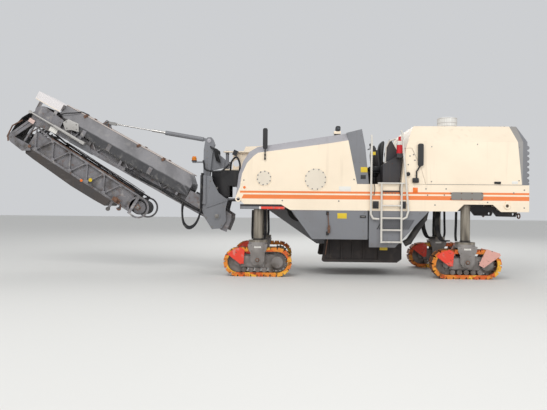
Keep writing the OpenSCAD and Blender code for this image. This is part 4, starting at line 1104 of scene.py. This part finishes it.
def cover_strips():
    """Pale tubes along the tarpaulin's top edges, rusty clamps on them and the strap hose over the head."""
    runs = [[inner(u, side * 264, 506) for u in range(900, 3961, 340)] for side in (1, -1)]
    pipes("cover_tubes", runs, 11, "pale_tube", "inner_conveyor")
    bm = bmesh.new()
    for side in (1, -1):
        for u in (1585, 2187, 3480):
            block_inner(bm, u - 30, u + 30, side * 246, side * 290, 484, 528, 6)
            block_inner(bm, u - 12, u + 46, side * 262, side * 304, 452, 492, 5)
            rod(bm, inner(u, side * 268, 492), inner(u + 12, side * 306, 436), 8)
    piece("cover_clamps", bm, "rusty_iron", "inner_conveyor")
    route = ((3960, 428, 214), (3850, 430, 330), (3700, 350, 440), (3622, 262, 522), (3640, 0, 526),
             (3659, -262, 522), (3700, -350, 440), (3850, -430, 330), (3960, -428, 214))
    hose("strap_hose", [inner(*p) for p in route], 12, "inner_conveyor")


def chain(bm, start, end):
    """A chain of oval links from start to end, every other one turned."""
    count = round((end - start).length / MM / 38)
    line = (end - start).normalized()
    side = line.cross(Vector((0, 1, 0))).normalized()
    for i in range(count):
        place = start.lerp(end, (i + 0.5) / count)
        normal = side if i % 2 else Vector((0, 1, 0))
        turn = Matrix((line, normal.cross(line), normal)).transposed().to_4x4()
        link = bmesh.new()
        ring(link, Vector((0, 0, 0)), (0, 0, 1), 11, 5.5, 12)
        # the round ring's halves are moved apart, which makes it oval
        for v in link.verts:
            v.co.x += math.copysign(0.012, v.co.x) if abs(v.co.x) > 1e-6 else 0
        link.transform(Matrix.Translation(place) @ turn)
        mesh = bpy.data.meshes.new("link")
        link.to_mesh(mesh)
        link.free()
        bm.from_mesh(mesh)
        bpy.data.meshes.remove(mesh)


def inner_section_fittings():
    """Bridle chains, brackets, bolts, rollers' ends, labels, rails and rope plates on the inner section."""
    links = bmesh.new()
    for side in (1, -1):
        chain(links, inner(3305, side * 414, 154), inner(3128, side * 40, 580))
        chain(links, inner(2700, side * 414, 150), inner(3070, side * 40, 575))
    piece("bridle_chains", links, "rusty_iron", "inner_conveyor")
    plates, white, steel, light, pale = (bmesh.new() for _ in range(5))
    for side in (1, -1):
        out = (0, side, 0)
        y, head_y, rail_y = side * INNER_Y, side * HEAD_Y, side * (INNER_Y - 7)
        # bracket plates where the chains and the cover are held
        for u, v in ((3305, 150), (2690, 150), (1700, 150)):
            block_inner(plates, u - 45, u + 45, y, y + side * 12, v - 80, v + 70, 4)
            bolt(steel, inner(u - 22, y + side * 12, v - 52), out, 9)
            bolt(steel, inner(u + 22, y + side * 12, v - 52), out, 9)
        # bolts on the head plates and the rails
        for u, v in ((3780, -120), (3850, 120), (4040, 190), (4200, -100), (4030, -100)):
            bolt(steel, inner(u, head_y, v), out, 10)
        for u in range(160, 3760, 240):
            bolt(steel, inner(u, rail_y, -98), out, 8)
        # carrying rollers' ends along the rail
        for u in range(420, 3700, 400):
            can(plates, inner(u, rail_y, -122), out, 16, 10, 14, bevel=2)
        # blank label, and the thin rail under the head cover
        block_inner(white, 3810, 3985, head_y, head_y + side * 2, -146, -46, 0.5)
        block_inner(light, 3975, 4550, head_y - side * 3, head_y, 306, 318, 1)
        # pale plate that holds the ropes beside the head
        corners = [(3800, 150), (3720, 262), (3490, 280), (3400, 130), (3560, 92), (3670, 22)]
        plate(pale, corners, head_y + side * 2, head_y + side * 8, 1.5, inner)
        for u, v in ((3740, 190), (3520, 240), (3470, 150), (3660, 80)):
            bolt(steel, inner(u, head_y + side * 8, v), out, 9)
    piece("conveyor_brackets", plates, "truss_steel", "inner_conveyor")
    piece("conveyor_labels", white, "label_film", "inner_conveyor")
    piece("conveyor_bolts", steel, "plated_steel", "inner_conveyor")
    piece("head_rail", light, "cream_enamel", "inner_conveyor")
    piece("rope_plates", pale, "light_enamel", "inner_conveyor")


def outer_section_fittings():
    """Arc guards, fold pivots, drum bearings, bolts, gussets, plates and reflectors on the outer section."""
    plates, steel, rusty, white, orange, yellow = (bmesh.new() for _ in range(6))
    for side in (1, -1):
        out = (0, side, 0)
        y, arm_y, bearing_y = side * LATTICE_Y, side * ARM_Y, side * (INNER_Y + 16)
        # arc guard at the fold
        bends = ((-180, 84), (-300, 300), (-275, 530), (-204, 622))
        arc = [outer(u, side * (ARM_Y + 3), v) for u, v in bends]
        bent_bar(rusty, arc, 14, 15, 12)
        for u, v in ((-200, 520), (-80, 540), (60, 560), (190, 520), (-270, 500)):
            bolt(steel, outer(u, arm_y, v), out, 12)
        can(rusty, outer(0, arm_y, 0), out, 52, 10, 28, bevel=3)
        can(steel, outer(0, arm_y + side * 10, 0), out, 26, 8, 6)
        can(rusty, outer(240, arm_y, 470), out, 34, 14, 24, bevel=3)
        # bearing and bolts of the discharge drum
        can(rusty, outer(END_U, bearing_y - side * 16, END_V), out, 74, 16, 4, bevel=5)
        can(steel, outer(END_U, bearing_y, END_V), out, 34, 14, 24, bevel=3)
        bolt_circle(steel, (END_U, bearing_y, END_V), out, 48, 4, 9, math.tau / 8, outer)
        bolt_circle(steel, (END_U, bearing_y - side * 16, END_V), out, 211, 8, 9, to_frame=outer)
        for u in range(200, 2700, 300):
            bolt(steel, outer(u, y, 490), out, 9)
            can(plates, outer(u + 60, y, 470), out, 15, 8, 14, bevel=2)
        # gussets at the lattice's joints
        for u in range(350, 2300, 430):
            for corners in ([(u - 60, 488), (u + 60, 488), (u + 26, 420), (u - 26, 420)],
                            [(u + 170, 95), (u + 290, 95), (u + 256, 165), (u + 204, 165)]):
                plate(plates, corners, y - side * 2, y + side * 4, 1, outer)
        corners = [(-65, -42), (65, -42), (65, 42), (-65, 42)]
        plate(white, corners, arm_y + side * 19, arm_y + side * 21, 0.5, outer)
        can(yellow, outer(1696, y, 385), out, 40, 8, 24, top=36)
        can(orange, outer(1541, y, 497), out, 30, 8, 24, top=26)
    piece("lattice_gussets", plates, "truss_steel", "outer_conveyor")
    piece("outer_bolts", steel, "plated_steel", "outer_conveyor")
    piece("outer_rusty_parts", rusty, "rusty_iron", "outer_conveyor")
    piece("outer_plate", white, "pink_plate", "outer_conveyor")
    piece("outer_reflectors", orange, "reflector_plastic", "outer_conveyor")
    piece("yellow_reflectors", yellow, "yellow_film", "outer_conveyor")


def conveyor_drive():
    """Motors of the discharge drum, each with a hook, hoses on the inner rail and pipes on the lattice."""
    for side, name in ((1, "left"), (-1, "right")):
        bm = bmesh.new()
        y = side * 402
        can(bm, outer(2386, y, 444), (0, side, 0), 58, 22, 24, bevel=4)
        can(bm, outer(2386, y + side * 22, 444), (0, side, 0), 40, 22, 24, bevel=5)
        plate(bm, [(2296, 400), (2476, 400), (2476, 492), (2296, 492)], y - side * 6, y + side * 10, 3, outer)
        for u, v in ((2316, 418), (2456, 418), (2316, 474), (2456, 474)):
            bolt(bm, outer(u, y + side * 10, v), (0, side, 0), 8)
        bends = ((2500, 470), (2548, 512), (2560, 566), (2520, 600), (2478, 580))
        hook = [outer(u, y, v) for u, v in bends]
        bent_bar(bm, hook, 11, 11.5)
        piece("discharge_motor_" + name, bm, "rusty_iron", "outer_conveyor")
    runs = []
    for i, lift in enumerate((0, 26, 52)):
        y = 416 + (i % 2) * 16
        runs.append([inner(u, y, -100 + lift + 9 * math.sin(u / 170 + i)) for u in range(250, 2220, 120)])
    pipes("rail_hoses", runs, 11, "hose_rubber", "inner_conveyor")
    runs = []
    for side in (1, -1):
        runs.append([outer(u, side * 396, 82 + 4 * math.sin(u / 200)) for u in range(520, 2700, 150)])
    pipes("lattice_pipes", runs, 8, "rusty_iron", "outer_conveyor")


def slewing_fittings():
    """Hoses over and round the slewing post, and the bolts and pin covers of the console and the post."""
    hose("arch_hose", [at(-1248, 90, 2330), at(-1200, 300, 2250), at(-1134, 440, 2116), at(-842, 450, 2081),
                       at(-650, 450, 2230)], 20, "slew")
    runs = []
    for i in range(3):
        y = 455 + 22 * i
        runs.append([at(-1188 - 12 * i, y, 2044), at(-1194 - 16 * i, y + 10, 1553),
                     at(-1242, y + 8, 1240 - 20 * i), at(-1340, y, 1010 - 20 * i),
                     at(-1478, y - 10, 930 - 20 * i), at(-1590, y - 20, 1030 - 16 * i),
                     at(-1624, y - 34, 1238), at(-1599 - 10 * i, y - 44, 1440)])
    pipes("pivot_hoses", runs, 17, "hose_rubber", "slew")
    runs = []
    for i in range(4):
        for side in (1, -1):
            runs.append([at(-1100 + 8 * i, side * (84 + 8 * i), 2640 - 12 * i),
                         at(-1010 + 24 * i, side * (130 + 8 * i), 2560),
                         at(-985 + 20 * i, side * (120 + 6 * i), 2440),
                         at(-960 + 26 * i, side * (60 + 12 * i), 2330 - 14 * i)])
    pipes("post_hoses", runs, 14, "hose_rubber", "slew")
    bm, light = bmesh.new(), bmesh.new()
    for side in (1, -1):
        y = side * 448
        for s, z in ((-1200, 1960), (-1200, 1700), (-1200, 1500), (-1040, 1880), (-900, 1740), (-740, 1480),
                     (-760, 1360), (-800, 960), (-1000, 930), (-1120, 1120)):
            bolt(bm, at(s, y, z), (0, side, 0), 11)
        can(bm, at(LIFT_S, side * 460, LIFT_Z), (0, side, 0), 44, 12, 28, bevel=3)
        can(bm, at(LIFT_S, side * 472, LIFT_Z), (0, side, 0), 22, 8, 6)
        for z in (2120, 2260, 2400, 2540):
            bolt(bm, at(-1170, side * 80, z), (0, side, 0), 10)
        can(light, at(-1130, side * 80, 2764), (0, side, 0), 46, 9, 28, bevel=2)
    for i in range(6):
        a = math.tau * i / 6
        bolt(bm, at(-741 + 44 * math.cos(a), 44 * math.sin(a), 2486), (0, 0, 1), 9)
    piece("console_bolts", bm, "plated_steel", "slew")
    piece("post_pin_plates", light, "pale_enamel", "slew")


def undercarriage():
    """Hubs, bolts, blank labels and leg hoses on the four track units; the hoses forward of each column are
    painted shade, dark tubes where that side is only shaded.
    """
    for name, (s, side) in UNITS.items():
        body = "unit_" + name
        steel, white, dark = bmesh.new(), bmesh.new(), bmesh.new()
        for face, turn in ((TRACK_Y + 176, side), (TRACK_Y - 176, -side)):
            y = side * face
            look = (0, turn, 0)
            can(dark, at(s, y, PIN_Z), look, 40, 10, 28, bevel=2)
            can(steel, at(s, y + turn * 10, PIN_Z), look, 22, 6, 6)
            bolt_circle(steel, (s, y, PIN_Z), look, 50, 6, 7, 0.5)
            cheek = side * (TRACK_Y + turn * side * 166)
            for ds, z in ((-120, 600), (120, 600), (-110, 500), (110, 500), (-90, 250), (90, 250)):
                bolt(steel, at(s + ds, cheek, z), look, 9)
            block(white, s - 66, s + 66, cheek, cheek + turn * 1.2, 560, 612, 0.4)
        for i in range(12):
            a = math.tau * i / 12
            place = at(s + 160 * math.cos(a), side * TRACK_Y + 160 * math.sin(a), TURN_Z - 16)
            bolt(steel, place, (0, 0, 1), 9, washer=False)
        piece("unit_bolts_" + name, steel, "plated_steel", body)
        piece("unit_labels_" + name, white, "label_film", body)
        piece("unit_hubs_" + name, dark, "rusty_iron", body)
        inner_y = side * (TRACK_Y - 200)
        runs = []
        # Each pair is a hose forward of the column and one rearward of it: the rearward ones are real hoses,
        # the forward ones are dark tubes standing in for painted shade on the column's front side
        for i in range(2):
            d = 24 * i
            runs.append([at(s - 128 + d, inner_y, 1290), at(s - 134 + d, inner_y + side * 6, 1040),
                         at(s - 138 + d, inner_y, 830), at(s - 128 + d, inner_y + side * 8, 712)])
            runs.append([at(s + 132 - d, inner_y, 1290), at(s + 138 - d, inner_y + side * 6, 1030),
                         at(s + 142 - d, inner_y, 820), at(s + 130 - d, inner_y + side * 8, 712)])
        hoses = as_mesh(pipes("leg_hoses_and_shade_" + name, runs, 13, "hose_rubber", None))
        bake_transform(hoses)


def column_details():
    """Two wiper rings round each leg column, above its yoke."""
    for name, (s, side) in UNITS.items():
        bm = bmesh.new()
        y = side * TRACK_Y
        for z, thick in ((712, 9), (734, 6)):
            ring(bm, at(s, y, z), (0, 0, 1), 95, thick, 36)
        piece("column_rings_" + name, bm, "black_steel", "leg_" + name)


def underside_hoses():
    """Hose bundles under the body, the hose on its front and the suction duct's ribs."""
    runs = []
    for i in range(4):
        d = 22 * i
        for side in (1, -1):
            runs.append([at(3596 + d, side * 600, 1300), at(3560 + d, side * 606, 1120),
                         at(3580 + d, side * 600, 900), at(3661 + d, side * 590, 720),
                         at(3800 + d, side * 560, 700)])
        runs.append([at(560 + d, 590, 1310), at(640 + d, 596, 1150), at(800 + d, 590, 1080),
                     at(1000 + d, 580, 1180), at(1100 + d, 570, 1300)])
    pipes("body_hoses", runs, 15, "hose_rubber", "chassis")
    hose("hood_hose", [at(-640, 300, 2118), at(-610, 370, 2290), at(-501, 430, 2385), at(-430, 440, 2240),
                       at(-440, 440, 2080)], 20, "chassis")
    bm = bmesh.new()
    path = [at(2890, 850, 650), at(2980, 850, 700), at(3270, 850, 1150), at(3330, 850, 1380)]
    for a, b in zip(path, path[1:]):
        line = b - a
        count = int(line.length / 0.026)
        for i in range(count):
            ring(bm, a.lerp(b, (i + 0.5) / count), line, 63, 5, 24)
    piece("duct_ribs", bm, "duct_plastic", "chassis")


def housing_details():
    """Lifting lugs, shackles and the storage boxes' bolts at the rear."""
    bm, lug = bmesh.new(), bmesh.new()
    for side in (1, -1):
        corners = [(4741, 1300), (4741, 1440), (4776, 1461), (4810, 1440), (4810, 1300)]
        plate(lug, corners, side * 1000, side * 1030, 4)
        ring(bm, at(5066, side * 1000, 1222), (1, 0.2, 0), 44, 13, 24)
        rod(bm, at(5066, side * 968, 1262), at(5066, side * 1032, 1262), 16, 16)
        for s in (3700, 3900, 4100, 4290):
            bolt(bm, at(s, side * (BODY_HW + 12), 1540), (0, side, 0), 8)
            bolt(bm, at(s, side * (BODY_HW + 12), 1650), (0, side, 0), 8)
    piece("rear_shackles", bm, "rusty_iron", "chassis")
    piece("rear_lugs", lug, "ochre_enamel", "chassis")


def extinguisher_details():
    """White band round the fire extinguisher."""
    bm = bmesh.new()
    can(bm, at(2730, BODY_HW - 70, 2575), (0, 0, 1), 57.5, 76, 32, bevel=1)
    piece("extinguisher_band", bm, "label_film", "chassis")


def rail_details():
    """Round rails behind the consoles, and the ladder's uprights up to a bar at the platform's edge."""
    bm = bmesh.new()
    for side in (1, -1):
        y = side * 975
        loop = [at(2480, y, 2235), at(2492, y, 2540), at(2556, y, 2670), at(2680, y, 2715)]
        bent_bar(bm, loop, 15, 15)
        ball(bm, loop[-1], 15)
        rod(bm, loop[0], at(2760, y, 2330), 15)
        y = side * RAIL_Y
        for s in (2374, 2755):
            rod(bm, at(s, y, 1690), at(s, y, 1830), 17)
            rod(bm, at(s, side * BODY_HW, 1815), at(s, y, 1815), 12)
        rod(bm, at(2300, y, 1830), at(2810, y, 1830), 15)
    piece("console_frames", bm, "rail_enamel", "chassis")


def camera_and_mirror():
    """The camera's foot and eye, and the mirror's glass."""
    foot, mirror, eye = (bmesh.new() for _ in range(3))
    block(foot, 1464, 1596, BODY_HW - 196, BODY_HW - 104, 2790, 2846, 4)
    block(mirror, 92, 168, BODY_HW + 8, BODY_HW + 12, 2500, 2850, 2)
    can(eye, at(1542, BODY_HW - 100, 2893), (0, 1, 0), 26, 8, 24, top=22, bevel=2)
    piece("camera_foot", foot, "cream_enamel", "chassis")
    piece("mirror_glass", mirror, "mirror_glass", "chassis")
    piece("camera_eye", eye, "clear_glass", "chassis")


def beacon_details():
    """The beacon's dark foot."""
    bm = bmesh.new()
    can(bm, at(-1455, 30, 2320), (0, 0, 1), 58, 24, 32, top=55, bevel=3)
    piece("beacon_foot", bm, "moulded_black", "slew")


body_fittings()
hood_fittings()
skirt_fittings()
side_plate_fittings()
platform_fittings()
ladder_fittings()
front_fittings()
soft_seats()
tarpaulin()
cover_strips()
inner_section_fittings()
outer_section_fittings()
conveyor_drive()
slewing_fittings()
undercarriage()
column_details()
underside_hoses()
housing_details()
extinguisher_details()
rail_details()
camera_and_mirror()
beacon_details()

# Camera, as the photograph's: 12 m to the left of the machine's middle plane and 1.35 m above the floor
CAM_YAW, CAM_PITCH, CAM_ROLL = math.radians(1.8), math.radians(0.25), math.radians(0.55)
CAM_PLACE = at(640, 12000, 1345)
FOCAL_PX, IMAGE_W = 558.0, 547
forward = Vector((math.sin(CAM_YAW) * math.cos(CAM_PITCH), -math.cos(CAM_YAW) * math.cos(CAM_PITCH),
                  math.sin(CAM_PITCH)))
level = Vector((-math.cos(CAM_YAW), -math.sin(CAM_YAW), 0))
over = level.cross(forward)
right = level * math.cos(CAM_ROLL) + over * math.sin(CAM_ROLL)
above = over * math.cos(CAM_ROLL) - level * math.sin(CAM_ROLL)
camera = bpy.data.objects.new("camera", bpy.data.cameras.new("camera"))
camera.data.lens = camera.data.sensor_width * FOCAL_PX / IMAGE_W
camera.data.clip_end = 200
turn = Matrix((right, above, -forward)).transposed()
camera.matrix_world = Matrix.Translation(CAM_PLACE) @ turn.to_4x4()
bpy.context.scene.collection.objects.link(camera)
bpy.context.scene.camera = camera

# Floor, which keeps its shadow, and light
mesh = bpy.data.meshes.new("floor")
bm = bmesh.new()
bmesh.ops.create_grid(bm, x_segments=1, y_segments=1, size=60)
bm.to_mesh(mesh)
bm.free()
floor = bpy.data.objects.new("floor", mesh)
floor.data.materials.append(Finish("floor", "#D9D8D4", 0.7).material)
bpy.context.scene.collection.objects.link(floor)

world = bpy.data.worlds.new("studio")
bpy.context.scene.world = world
world.use_nodes = True
sky = world.node_tree.nodes["Background"]
sky.inputs["Color"].default_value = rgb("#E9EBEE")
sky.inputs["Strength"].default_value = 0.75


def lamp(name, place, target, size, power):
    """An area lamp at place, turned to target."""
    data = bpy.data.lights.new(name, "AREA")
    data.size = size
    data.energy = power
    o = bpy.data.objects.new(name, data)
    o.location = place
    o.rotation_mode = "QUATERNION"
    o.rotation_quaternion = (target - place).to_track_quat("-Z", "Y")
    bpy.context.scene.collection.objects.link(o)


middle = at(800, 0, 1500)
lamp("key", middle + Vector((4.0, 12.0, 11.0)), middle, 8, 1080)
lamp("fill", middle + Vector((-7.0, 10.0, 5.0)), middle, 8, 300)
lamp("back", middle + Vector((-2.0, -11.0, 9.0)), middle, 9, 600)
bpy.context.scene.view_settings.view_transform = "Standard"
